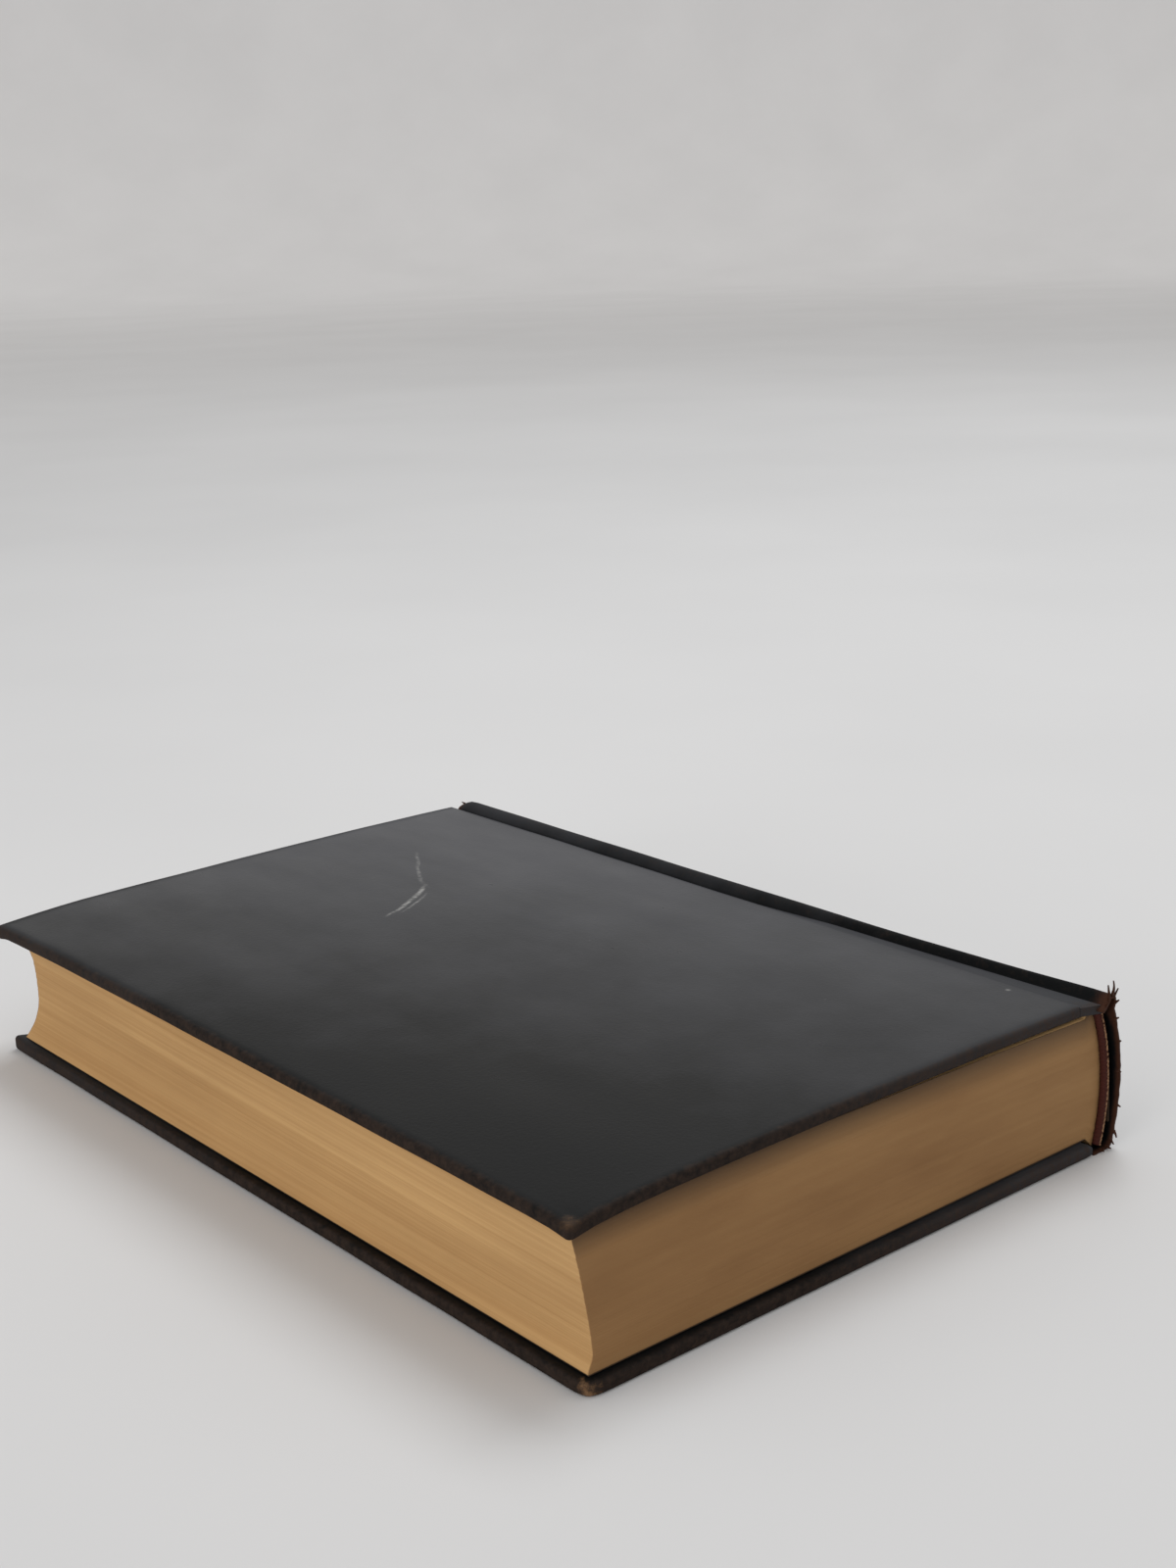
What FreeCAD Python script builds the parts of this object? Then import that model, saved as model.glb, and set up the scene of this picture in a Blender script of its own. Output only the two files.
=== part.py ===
"""Old hardback book lying on its back cover: pages, spine and two hinged covers.

Frame: +Z up, +X towards the fore-edge, -X towards the spine, +Y towards the head,
origin at the middle of the footprint, on the surface that the book lies on.
The book has leaned with age: the front cover sits further towards the tail
than the back cover, and the ends of the pages and of the spine slant with it.
"""
import FreeCAD, Part
import math
import os

import Sketcher

os.makedirs("parts", exist_ok=True)
doc = FreeCAD.newDocument("hardback_book")

# Driving dimensions, in millimetres

SIZES = {
    "cover_length": 229.0,           # head to tail of one covered board
    "cover_width": 144.8,            # fore-edge to joint of one covered board
    "board_thickness": 2.2,
    "cloth_thickness": 0.3,          # covering cloth on the boards
    "corner_radius": 1.5,            # rubbed fore-edge corners of the boards
    "turn_in": 15.0,                 # cloth folded over onto the inside of a board
    "block_thickness": 27.8,         # the pages alone
    "endpaper_thickness": 0.2,
    "endpaper_gap": 0.1,             # air between a pasted endpaper and the free one beside it
    "paste_margin": 3.0,             # a pasted endpaper stays this far inside the board's edges
    "fore_square": 2.4,              # the boards stand this far past the pages at the fore-edge
    "end_square": 2.4,               # and this far at head and tail
    "lean": 3.6,                     # the front cover has moved this far towards the tail
    "fore_hollow": 4.6,              # depth of the hollow fore-edge
    "back_round": 3.2,               # roundness of the back of the pages
    "shoulder_width": 2.3,           # backed shoulder of the pages, from its root to its tip
    "front_shoulder": 2.8,           # the shoulder tip rises this far above the pages' front face
    "back_shoulder": 2.2,            # and sinks this far below their back face
    "joint_gap": 0.3,                # between a board's joint edge and the shoulder's root
    "lining_thickness": 0.4,         # gauze and paper glued over the back of the pages
    "band_reach": 1.3,               # endband, from the lining outwards
    "band_height": 1.6,              # endband, past the ends of the pages
    "band_tail_length": 6.0,         # endband, glued down over the lining
    "spine_cloth_thickness": 0.6,
    "spine_inset": 0.6,              # ends of the spine stay this far inside the boards' ends
    "spine_hollow": 0.8,             # air between the endbands and the card of the spine
    "spine_crown": 2.3,              # roundness of the outer spine
    "spine_slant": 1.0,              # the outer spine leans in at the front by this much
    "ridge_clearance": 1.5,          # air between the front shoulder's tip and the spine's ridge
    "ridge_offset": 1.4,             # the ridge's crest lies this far behind the shoulder's tip
    "upper_turn_depth": 1.8,         # the round spine turns onto the ridge below the front cover
    "lower_turn_height": 2.6,        # and turns under above the table
    "underside_offset": 2.4,         # flat underside of the spine starts behind the shoulder's tip
    "turn_bulge_height": 0.75,       # fullness of the turns at both ends of the spine's curve
    "groove_depth": 1.0,             # spine cloth in the front groove, below the front cover
    "groove_width": 0.7,             # joint edge of a cover to the spine cloth
    "inlay_thickness": 0.5,          # card strip inside the spine cloth
    "inlay_width": 24.0,
}

sheet = doc.addObject("Spreadsheet::Sheet", "Sizes")
for row, (alias, size) in enumerate(SIZES.items(), start=1):
    sheet.set(f"A{row}", alias)
    sheet.set(f"B{row}", str(size))
    sheet.setAlias(f"B{row}", alias)
doc.recompute()

# Places worked out from the driving dimensions, as expressions on the sheet

PLACES = {alias: f"Sizes.{alias}" for alias in SIZES}


def fill(text):
    """Put the named sizes and places into an expression."""
    return text.format(**PLACES)


def place(name, text):
    """Name an expression, so that later ones can use it."""
    PLACES[name] = "(" + fill(text) + ")"


def number(text):
    """The number that an expression gives for the sizes in the sheet."""
    return float(sheet.evalExpression(fill(text).replace("Sizes.", "")))


place("cover_thickness", "{board_thickness} + 2 * {cloth_thickness}")
place("leaf_stack", "2 * {endpaper_thickness} + {endpaper_gap}")
place("page_back_depth", "{joint_gap} + {shoulder_width} + {back_round}")
place("spine_stack", "{lining_thickness} + {band_reach} + {spine_hollow} + {inlay_thickness}")
place("spine_depth", "{page_back_depth} + {spine_stack} + {spine_cloth_thickness}")
place("fore_x", "({cover_width} + {spine_depth}) / 2")
place("spine_x", "-{fore_x}")
place("joint_x", "{fore_x} - {cover_width}")
place("half_cover", "{cover_length} / 2")
place("half_page", "{half_cover} - {end_square}")
place("block_bottom", "{cover_thickness} + {leaf_stack}")
place("block_top", "{block_bottom} + {block_thickness}")
place("front_inside", "{block_top} + {leaf_stack}")
place("closed_height", "{front_inside} + {cover_thickness}")
place("page_fore", "{fore_x} - {fore_square}")
place("shoulder_root", "{joint_x} - {joint_gap}")
place("shoulder_tip", "{shoulder_root} - {shoulder_width}")
place("upper_tip", "{block_top} + {front_shoulder}")
place("lower_tip", "{block_bottom} - {back_shoulder}")
place("overall_height", "{upper_tip} + {ridge_clearance} + {spine_cloth_thickness}")
place("lean_rate", "{lean} / ({front_inside} - {cover_thickness})")

# Sketches: each corner is held by its two distances from the origin, each arc by its radius

ORIGIN = (-1, 1)
FIRST, SECOND = 1, 2


def add_side(sketch, start, end, bulge):
    """Draw one side and return it with the ends that touch start and end.

    The bulge is the height of an arc over its chord, positive to the left of the way.
    """
    a = FreeCAD.Vector(number(start[0]), number(start[1]), 0)
    b = FreeCAD.Vector(number(end[0]), number(end[1]), 0)
    if bulge is None:
        return sketch.addGeometry(Part.LineSegment(a, b), False), FIRST, SECOND
    height = number(bulge)
    chord = b - a
    radius = chord.Length ** 2 / (8 * abs(height)) + abs(height) / 2
    left = FreeCAD.Vector(-chord.y, chord.x, 0).normalize()
    centre = (a + b) * 0.5 + left * (height - math.copysign(radius, height))
    begin, finish = (b, a) if height > 0 else (a, b)
    angles = [math.atan2(point.y - centre.y, point.x - centre.x) for point in (begin, finish)]
    circle = Part.Circle(centre, FreeCAD.Vector(0, 0, 1), radius)
    side = sketch.addGeometry(Part.ArcOfCircle(circle, angles[0], angles[1]), False)
    width = f"({end[0]}) - ({start[0]})"
    rise = f"({end[1]}) - ({start[1]})"
    rule = f"(({width})^2 + ({rise})^2) / (8 * abs({bulge})) + abs({bulge}) / 2"
    hold = sketch.addConstraint(Sketcher.Constraint("Radius", side, radius))
    sketch.setExpression(f"Constraints[{hold}]", fill(rule))
    return (side, SECOND, FIRST) if height > 0 else (side, FIRST, SECOND)


def add_outline(sketch, corners):
    """Draw a closed outline of corners (across, up) or (across, up, bulge of the next side)."""
    sides = []
    for index, corner in enumerate(corners):
        following = corners[(index + 1) % len(corners)]
        bulge = corner[2] if len(corner) == 3 else None
        sides.append(add_side(sketch, corner[:2], following[:2], bulge))
    for index, (side, begin, finish) in enumerate(sides):
        next_side, next_begin, next_finish = sides[(index + 1) % len(sides)]
        sketch.addConstraint(Sketcher.Constraint("Coincident", side, finish, next_side, next_begin))
        for kind, text in (("DistanceX", corners[index][0]), ("DistanceY", corners[index][1])):
            rule = Sketcher.Constraint(kind, *ORIGIN, side, begin, number(text))
            hold = sketch.addConstraint(rule)
            sketch.setExpression(f"Constraints[{hold}]", fill(text))


def add_sketch(body, name, plane, *outlines, height=None):
    """Sketch one or more outlines on a plane of the body, raised by height where given."""
    sketch = body.newObject("Sketcher::SketchObject", name)
    face = next(item for item in body.Origin.OriginFeatures if item.Role == plane)
    sketch.AttachmentSupport = [(face, "")]
    sketch.MapMode = "FlatFace"
    if height is not None:
        sketch.setExpression(".AttachmentOffset.Base.z", fill(height))
    for corners in outlines:
        add_outline(sketch, corners)
    return sketch


def add_body(name):
    body = doc.addObject("PartDesign::Body", name)
    body.Label = name
    return body


def add_pad(body, name, sketch, length, symmetric=False):
    pad = body.newObject("PartDesign::Pad", name)
    pad.Profile = sketch
    pad.SideType = "Symmetric" if symmetric else "One side"
    pad.setExpression("Length", fill(length))
    doc.recompute()
    return pad


def add_pocket(body, name, sketch, length, symmetric=False):
    """Cut upwards from a level sketch, or to both sides when symmetric."""
    pocket = body.newObject("PartDesign::Pocket", name)
    pocket.Profile = sketch
    pocket.SideType = "Symmetric" if symmetric else "One side"
    pocket.Reversed = not symmetric
    pocket.setExpression("Length", fill(length))
    doc.recompute()
    return pocket


# Pieces that run from head to tail: a section across the spine, with ends cut to the lean

def leaning(reach, level):
    """A corner at this distance from the middle, towards the head, shifted by the lean."""
    shift = f"{{lean}} / 2 - (({level}) - {{cover_thickness}}) * {{lean_rate}}"
    return f"({reach}) + {shift}", level


def add_run(name, section, tail, head, foot="-{overall_height}", lid="2 * {overall_height}"):
    """Pad a section along the book, then trim it to its two ends and to a foot and a lid."""
    body = add_body(name)
    outline = add_sketch(body, name + "_section", "XZ_Plane", section)
    add_pad(body, name + "_length", outline, "3 * {cover_length}", symmetric=True)
    outside = [("-2 * {cover_length}", "-2 * {overall_height}"),
               ("2 * {cover_length}", "-2 * {overall_height}"),
               ("2 * {cover_length}", "3 * {overall_height}"),
               ("-2 * {cover_length}", "3 * {overall_height}")]
    keep = [leaning(tail, foot), leaning(head, foot), leaning(head, lid), leaning(tail, lid)]
    ends = add_sketch(body, name + "_ends", "YZ_Plane", outside, keep)
    add_pocket(body, name + "_trimmed", ends, "2 * {cover_width}", symmetric=True)
    return body


def behind_pages(near, far):
    """Section of a layer that follows the rounded back of the pages."""
    return [
        (f"{{shoulder_tip}} - {near}", "{upper_tip}", "-{back_round}"),
        (f"{{shoulder_tip}} - {near}", "{lower_tip}"),
        (f"{{shoulder_tip}} - ({far})", "{lower_tip}", "{back_round}"),
        (f"{{shoulder_tip}} - ({far})", "{upper_tip}"),
    ]


def add_text_block():
    """All the pages as one solid: hollow fore-edge, rounded back and backed shoulders."""
    section = [
        ("{page_fore}", "{block_bottom}", "{fore_hollow}"),
        ("{page_fore}", "{block_top}"),
        ("{shoulder_root}", "{block_top}"),
        ("{shoulder_tip}", "{upper_tip}", "-{back_round}"),
        ("{shoulder_tip}", "{lower_tip}"),
        ("{shoulder_root}", "{block_bottom}"),
    ]
    return add_run("text_block", section, "-{half_page}", "{half_page}")


def add_spine_lining():
    """Gauze and paper glued over the back of the pages."""
    section = behind_pages("0", "{lining_thickness}")
    return add_run("spine_lining", section, "-{half_page}", "{half_page}")


def add_endband(name, side):
    """Corded band glued over the lining, standing up past the end of the pages."""
    section = behind_pages("{lining_thickness}", "{lining_thickness} + {band_reach}")
    reaches = ["{half_page} - {band_tail_length}", "{half_page} + {band_height}"]
    if side < 0:
        reaches = [f"-({reach})" for reach in reversed(reaches)]
    return add_run(name, section, *reaches)


place("half_spine", "{half_cover} - {spine_inset}")
place("spine_upper", "{spine_x} + {spine_crown} + {spine_slant} / 2")
place("spine_lower", "{spine_x} + {spine_crown} - {spine_slant} / 2")
place("upper_level", "{closed_height} - {upper_turn_depth}")
place("ridge_x", "{shoulder_tip} - {ridge_offset}")
place("groove_x", "{joint_x} - {groove_width}")
place("groove_level", "{closed_height} - {groove_depth}")
place("underside_x", "{shoulder_tip} - {underside_offset}")
place("inner_upper", "{spine_upper} + {spine_cloth_thickness}")
place("inner_lower", "{spine_lower} + {spine_cloth_thickness}")


def add_spine_cloth():
    """Covering cloth of the spine: front groove, ridge, round back and flat underside."""
    outer = [
        ("{groove_x}", "{groove_level}", "-{turn_bulge_height}"),
        ("{ridge_x}", "{overall_height}", "-{turn_bulge_height}"),
        ("{spine_upper}", "{upper_level}", "-{spine_crown}"),
        ("{spine_lower}", "{lower_turn_height}", "-{turn_bulge_height}"),
        ("{underside_x}", "0"),
        ("{groove_x}", "0"),
    ]
    hollow = [
        ("{groove_x}", "{groove_level} - {spine_cloth_thickness}", "-{turn_bulge_height}"),
        ("{ridge_x}", "{overall_height} - {spine_cloth_thickness}", "-{turn_bulge_height}"),
        ("{inner_upper}", "{upper_level}", "-{spine_crown}"),
        ("{inner_lower}", "{lower_turn_height}", "-{turn_bulge_height}"),
        ("{underside_x}", "{spine_cloth_thickness}"),
        ("{joint_x}", "{spine_cloth_thickness}"),
        ("{joint_x}", "{groove_level} - {spine_cloth_thickness}"),
    ]
    body = add_run("spine_cloth", outer, "-{half_spine}", "{half_spine}")
    inside = add_sketch(body, "spine_cloth_inside", "XZ_Plane", hollow)
    add_pocket(body, "spine_cloth_hollow", inside, "3 * {cover_length}", symmetric=True)
    return body


def add_spine_inlay():
    """Strip of card that stiffens the spine cloth, against its inner face."""
    section = [
        ("{inner_upper}", "{upper_level}", "-{spine_crown}"),
        ("{inner_lower}", "{lower_turn_height}"),
        ("{inner_lower} + {inlay_thickness}", "{lower_turn_height}", "{spine_crown}"),
        ("{inner_upper} + {inlay_thickness}", "{upper_level}"),
    ]
    middle = "({upper_level} + {lower_turn_height}) / 2"
    reach = "{half_spine} - {spine_cloth_thickness}"
    return add_run("spine_inlay", section, f"-({reach})", reach,
                   foot=f"{middle} - {{inlay_width}} / 2", lid=f"{middle} + {{inlay_width}} / 2")


# Covers and endpapers: level sheets, built for the back and for the front of the book

SIDES = {
    "back": {"shift": "{lean} / 2", "depth": lambda near, far: near},
    "front": {"shift": "-{lean} / 2", "depth": lambda near, far: f"{{closed_height}} - ({far})"},
}


def rounded_board(margin, shift):
    """Outline of a board, smaller by the margin, with its two fore-edge corners rounded."""
    joint = f"{{joint_x}} + {margin}"
    fore = f"{{fore_x}} - {margin}"
    end = f"({{half_cover}} - {margin})"
    radius = f"({{corner_radius}} - {margin})"
    bulge = f"-{radius} * (1 - sqrt(0.5))"
    return [
        (joint, f"{shift} - {end}"),
        (f"{fore} - {radius}", f"{shift} - {end}", bulge),
        (fore, f"{shift} - {end} + {radius}"),
        (fore, f"{shift} + {end} - {radius}", bulge),
        (f"{fore} - {radius}", f"{shift} + {end}"),
        (joint, f"{shift} + {end}"),
    ]


def rectangle(joint, fore, end, shift):
    return [
        (joint, f"{shift} - ({end})"),
        (fore, f"{shift} - ({end})"),
        (fore, f"{shift} + ({end})"),
        (joint, f"{shift} + ({end})"),
    ]


def between_turn_ins(shift):
    """The part of a board's inner face that the folded-over cloth leaves free."""
    return rectangle("{joint_x} + {cloth_thickness}", "{fore_x} - {turn_in}",
                     "{half_cover} - {turn_in}", shift)


def add_board(side):
    """Pulp board, pressed thinner under the turned-in cloth."""
    shift, depth = side["shift"], side["depth"]
    body = add_body(side["name"] + "_board")
    low = depth("{cloth_thickness}", "{cloth_thickness} + {board_thickness}")
    outline = rounded_board("{cloth_thickness}", shift)
    sketch = add_sketch(body, body.Label + "_outline", "XY_Plane", outline, height=low)
    add_pad(body, body.Label + "_sheet", sketch, "{board_thickness}")
    low = depth("{cloth_thickness} + {board_thickness}", "{cover_thickness}")
    window = between_turn_ins(shift)
    sketch = add_sketch(body, body.Label + "_window", "XY_Plane", window, height=low)
    add_pad(body, body.Label + "_proud", sketch, "{cloth_thickness}")
    return body


def add_cover_cloth(side):
    """Covering cloth wrapped round a board and turned in along three edges."""
    shift, depth = side["shift"], side["depth"]
    body = add_body(side["name"] + "_cover_cloth")
    low = depth("0", "{cover_thickness}")
    outline = rounded_board("0", shift)
    sketch = add_sketch(body, body.Label + "_outline", "XY_Plane", outline, height=low)
    add_pad(body, body.Label + "_wrap", sketch, "{cover_thickness}")
    low = depth("{cloth_thickness}", "{cloth_thickness} + {board_thickness}")
    outline = rounded_board("{cloth_thickness}", shift)
    sketch = add_sketch(body, body.Label + "_board", "XY_Plane", outline, height=low)
    add_pocket(body, body.Label + "_room", sketch, "{board_thickness}")
    low = depth("{cloth_thickness} + {board_thickness}", "{cover_thickness}")
    window = between_turn_ins(shift)
    sketch = add_sketch(body, body.Label + "_window", "XY_Plane", window, height=low)
    add_pocket(body, body.Label + "_turned_in", sketch, "{cloth_thickness}")
    return body


def add_pastedown(side):
    """Endpaper pasted over the inside of a cover and the edges of its turned-in cloth."""
    shift, depth = side["shift"], side["depth"]
    body = add_body(side["name"] + "_pastedown")
    low = depth("{cover_thickness}", "{cover_thickness} + {endpaper_thickness}")
    outline = rectangle("{joint_x} + {cloth_thickness}", "{fore_x} - {paste_margin}",
                        "{half_cover} - {paste_margin}", shift)
    sketch = add_sketch(body, body.Label + "_outline", "XY_Plane", outline, height=low)
    add_pad(body, body.Label + "_sheet", sketch, "{endpaper_thickness}")
    return body


def add_free_endpaper(side):
    """Loose half of the endpaper, lying on the pages and trimmed with them."""
    depth = side["depth"]
    body = add_body(side["name"] + "_free_endpaper")
    low = depth("{block_bottom} - {endpaper_thickness}", "{block_bottom}")
    shift = leaning("0", low)[0]
    outline = rectangle("{shoulder_root}", "{page_fore}", "{half_page}", shift)
    sketch = add_sketch(body, body.Label + "_outline", "XY_Plane", outline, height=low)
    add_pad(body, body.Label + "_sheet", sketch, "{endpaper_thickness}")
    return body


def main():
    pieces = [
        add_text_block(),
        add_spine_lining(),
        add_endband("head_band", 1),
        add_endband("tail_band", -1),
        add_spine_inlay(),
        add_spine_cloth(),
    ]
    for name, side in SIDES.items():
        side["name"] = name
        pieces.append(add_free_endpaper(side))
        pieces.append(add_pastedown(side))
        pieces.append(add_board(side))
        pieces.append(add_cover_cloth(side))
    doc.recompute()
    for item in doc.Objects:
        if "Invalid" in item.State or "Error" in item.State:
            raise RuntimeError(f"{item.Name} could not be built")
    for piece in pieces:
        if piece.Shape.isNull() or not piece.Shape.isValid():
            raise RuntimeError(f"{piece.Label} has no valid shape")
    for piece in pieces:
        piece.Shape.exportStep(f"parts/{piece.Label}.step")
        print(piece.Label, len(piece.Shape.Solids), round(piece.Shape.Volume, 2))


main()
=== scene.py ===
"""Old hardback book, dressed: browned pages, black grained cloth, endbands and worn corners."""
import math

import bmesh
import bpy
from bpy.props import FloatProperty, PointerProperty, StringProperty
from mathutils import Matrix, Vector, noise


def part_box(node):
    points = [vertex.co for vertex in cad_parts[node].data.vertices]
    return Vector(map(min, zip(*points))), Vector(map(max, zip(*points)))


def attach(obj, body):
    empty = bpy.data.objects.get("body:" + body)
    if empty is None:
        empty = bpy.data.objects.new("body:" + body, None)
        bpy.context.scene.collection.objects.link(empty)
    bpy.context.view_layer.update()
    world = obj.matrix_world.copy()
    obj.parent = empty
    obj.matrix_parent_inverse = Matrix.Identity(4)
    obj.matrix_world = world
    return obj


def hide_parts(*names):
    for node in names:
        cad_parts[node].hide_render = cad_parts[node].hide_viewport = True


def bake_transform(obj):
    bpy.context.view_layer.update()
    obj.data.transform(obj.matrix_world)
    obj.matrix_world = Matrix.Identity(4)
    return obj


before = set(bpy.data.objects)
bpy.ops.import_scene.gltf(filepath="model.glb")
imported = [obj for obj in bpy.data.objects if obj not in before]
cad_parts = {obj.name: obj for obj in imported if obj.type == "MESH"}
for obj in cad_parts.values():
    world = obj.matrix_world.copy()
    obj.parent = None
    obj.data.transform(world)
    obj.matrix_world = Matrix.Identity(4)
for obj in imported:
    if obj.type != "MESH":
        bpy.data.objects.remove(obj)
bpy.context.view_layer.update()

bl_info = {
    "name": "Old hardback book",
    "version": (1, 0, 0),
    "blender": (4, 5, 0),
    "location": "View3D > Sidebar > Book",
    "description": "Dresses a hardback book: pages, covers, spine, endbands, endpapers and stage",
    "category": "Object",
}

MM = 0.001

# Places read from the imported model

BACK_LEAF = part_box("back_free_endpaper")
FRONT_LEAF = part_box("front_free_endpaper")
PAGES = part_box("text_block")
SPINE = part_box("spine_cloth")
COVERS = {"front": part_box("front_cover_cloth"), "back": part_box("back_cover_cloth")}
PASTED = {"front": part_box("front_pastedown"), "back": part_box("back_pastedown")}
LEAVES = {"front": FRONT_LEAF, "back": BACK_LEAF}
HALF_PAGE = (BACK_LEAF[1].y - BACK_LEAF[0].y) / 2
PAGES_LOW = BACK_LEAF[1].z
PAGES_HIGH = FRONT_LEAF[0].z
SHOULDER_X = BACK_LEAF[0].x
TIP_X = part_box("spine_lining")[1].x
BANDS = {"head_band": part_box("head_band"), "tail_band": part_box("tail_band")}
LEAN = ((FRONT_LEAF[0].y + FRONT_LEAF[1].y) - (BACK_LEAF[0].y + BACK_LEAF[1].y)) / 2
LEAN_RATE = LEAN / (FRONT_LEAF[0].z - BACK_LEAF[0].z)


def lean_at(z):
    """How far the leaning book has moved towards the head at this height."""
    return (BACK_LEAF[0].y + BACK_LEAF[1].y) / 2 + (z - BACK_LEAF[0].z) * LEAN_RATE


def ramp(value, start, end):
    """0 before start, 1 beyond end, and even between them."""
    return min(1.0, max(0.0, (value - start) / (end - start)))


def falloff(distance, width):
    """1 at no distance, fading smoothly to nothing beyond about twice the width."""
    return math.exp(-(distance / width) ** 2)


class BookSizes(bpy.types.PropertyGroup):
    """Sizes of the finish that the solids don't hold."""
    fore_hollow: FloatProperty(
        name="Fore-edge hollow", description="Depth of the hollow fore-edge at the tail",
        default=5.2 * MM, unit="LENGTH")
    head_hollow: FloatProperty(
        name="Head hollow", description="Depth of the hollow fore-edge at the head",
        default=1.7 * MM, unit="LENGTH")
    upper_tuck: FloatProperty(
        name="Upper tuck", description="How far the first leaves sit back at the tail's fore-edge",
        default=1.1 * MM, unit="LENGTH")
    back_twist: FloatProperty(
        name="Back twist", description="How far the back of the pages stands out at the head",
        default=2.8 * MM, unit="LENGTH")
    leaf_relief: FloatProperty(
        name="Leaf relief", description="How unevenly the gatherings of leaves stand out",
        default=0.09 * MM, unit="LENGTH")
    rim_round: FloatProperty(
        name="Rim rounding", description="Rounding of the cloth over a board's edge",
        default=0.8 * MM, unit="LENGTH")
    corner_round: FloatProperty(
        name="Corner rounding", description="Bumped fore-edge corners of the boards",
        default=1.3 * MM, unit="LENGTH")
    corner_folds: FloatProperty(
        name="Corner folds", description="Extra thickness of the cloth folded at the tail corners",
        default=0.9 * MM, unit="LENGTH")
    bumped_corner: FloatProperty(
        name="Bumped corner", description="How far the back cover's head corner is knocked in",
        default=0.7 * MM, unit="LENGTH")
    board_swell: FloatProperty(
        name="Board swell", description="Unevenness of a cover's outer face",
        default=0.22 * MM, unit="LENGTH")
    cover_bow: FloatProperty(
        name="Cover bow", description="How far the front cover has warped up in its middle",
        default=0.6 * MM, unit="LENGTH")
    end_droop: FloatProperty(
        name="End droop", description="How far the fore-edge of the front cover sinks at the tail",
        default=0.7 * MM, unit="LENGTH")
    fore_droop: FloatProperty(
        name="Fore-edge droop", description="How far the front cover's fore-edge is bent down",
        default=1.0 * MM, unit="LENGTH")
    corner_droop: FloatProperty(
        name="Corner droop", description="The head corner of the front cover is bent down",
        default=0.6 * MM, unit="LENGTH")
    cloth: FloatProperty(
        name="Spine cloth", description="Thickness of the spine's cloth",
        default=0.5 * MM, unit="LENGTH")
    bead: FloatProperty(
        name="Endband bead", description="Radius of the cord under the endband's thread",
        default=0.85 * MM, unit="LENGTH")
    edge_cord: FloatProperty(
        name="Endband edge cord", description="Radius of the thin pale cord along the endband",
        default=0.34 * MM, unit="LENGTH")
    thread: FloatProperty(
        name="Endband thread", description="Width of one winding of the endband's thread",
        default=0.95 * MM, unit="LENGTH")


class BookColours(bpy.types.PropertyGroup):
    """Colours as sRGB hex values."""
    cloth: StringProperty(name="Cloth", description="Black grained cloth", default="101112")
    # This grey is the cloth's own mottled tone, and also the painted sheen that greys the cloth
    # along a slope
    cloth_grey_and_sheen: StringProperty(
        name="Faded cloth", description="Cloth that light and handling have greyed",
        default="444549")
    cloth_rubbed: StringProperty(
        name="Rubbed cloth", description="Cloth worn brown along the edges", default="3A2E27")
    spine_worn: StringProperty(
        name="Worn spine", description="Reddish cloth at the worn ends of the spine",
        default="40291F")
    board: StringProperty(name="Board", description="Bare pulp board", default="836448")
    page_light: StringProperty(
        name="Pages", description="Browned page edges", default="D6AE78")
    page_dark: StringProperty(
        name="Page lines", description="Darker lines between the leaves", default="A67C4C")
    page_soil: StringProperty(
        name="Page soiling", description="Dust and soiling on the head and tail", default="86633F")
    endpaper: StringProperty(name="Endpaper", description="Aged endpaper", default="DACBAB")
    thread: StringProperty(
        name="Endband thread", description="Dark red thread", default="3E1912")
    bead: StringProperty(
        name="Endband bead", description="Paler bead of the endband", default="A98263")
    scuff: StringProperty(name="Scuffs", description="Pale scratches", default="A9A9A6")
    # Card is also the colour of the painted shade on the first leaves' ends and on the endpapers'
    # edges
    card: StringProperty(name="Card", description="Card inside the spine", default="4A3A2C")
    floor: StringProperty(name="Floor", description="Pale grey floor", default="D1D1D2")


def sizes():
    """The book's sizes as the scene holds them."""
    return bpy.context.scene.book_sizes


def linear(name):
    """A colour of the book as linear RGBA from its sRGB hex value."""
    text = getattr(bpy.context.scene.book_colours, name)
    channels = [int(text[start:start + 2], 16) / 255 for start in (0, 2, 4)]
    return [c / 12.92 if c <= 0.04045 else ((c + 0.055) / 1.055) ** 2.4 for c in channels] + [1.0]


# Materials

# Inputs of a Mix node that mixes colours, and its settings
FACTOR, UNDER, OVER = 0, 6, 7
COLOUR_MIX = {"out": 2, "data_type": "RGBA"}


def add_node(tree, kind, inputs=None, out=0, **settings):
    """Add a shader node with its settings, link or set its inputs and return one output."""
    made = tree.nodes.new("ShaderNode" + kind)
    for name, value in settings.items():
        setattr(made, name, value)
    for socket, source in (inputs or {}).items():
        if isinstance(source, bpy.types.NodeSocket):
            tree.links.new(source, made.inputs[socket])
        else:
            made.inputs[socket].default_value = source
    return made.outputs[out] if made.outputs else made


def new_surface(name):
    """A material with an empty tree: returns it with its tree and its place in millimetres."""
    material = bpy.data.materials.new(name)
    material.use_nodes = True
    tree = material.node_tree
    tree.nodes.clear()
    place = add_node(tree, "TexCoord", out="Object")
    return material, tree, add_node(tree, "VectorMath", {0: place, 1: (1000, 1000, 1000)},
                                    operation="MULTIPLY")


def close_surface(tree, colour, roughness, height=None, depth=0.0, strength=0.0, **plain):
    """Finish a tree: bump depth in millimetres, and values that are the same all over."""
    inputs = {"Base Color": colour, "Roughness": roughness}
    inputs.update({socket.replace("_", " "): value for socket, value in plain.items()})
    if height is not None:
        inputs["Normal"] = add_node(tree, "Bump", {"Height": height, "Distance": depth * MM,
                                                   "Strength": strength})
    shader = add_node(tree, "BsdfPrincipled", inputs)
    add_node(tree, "OutputMaterial", {"Surface": shader})


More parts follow.
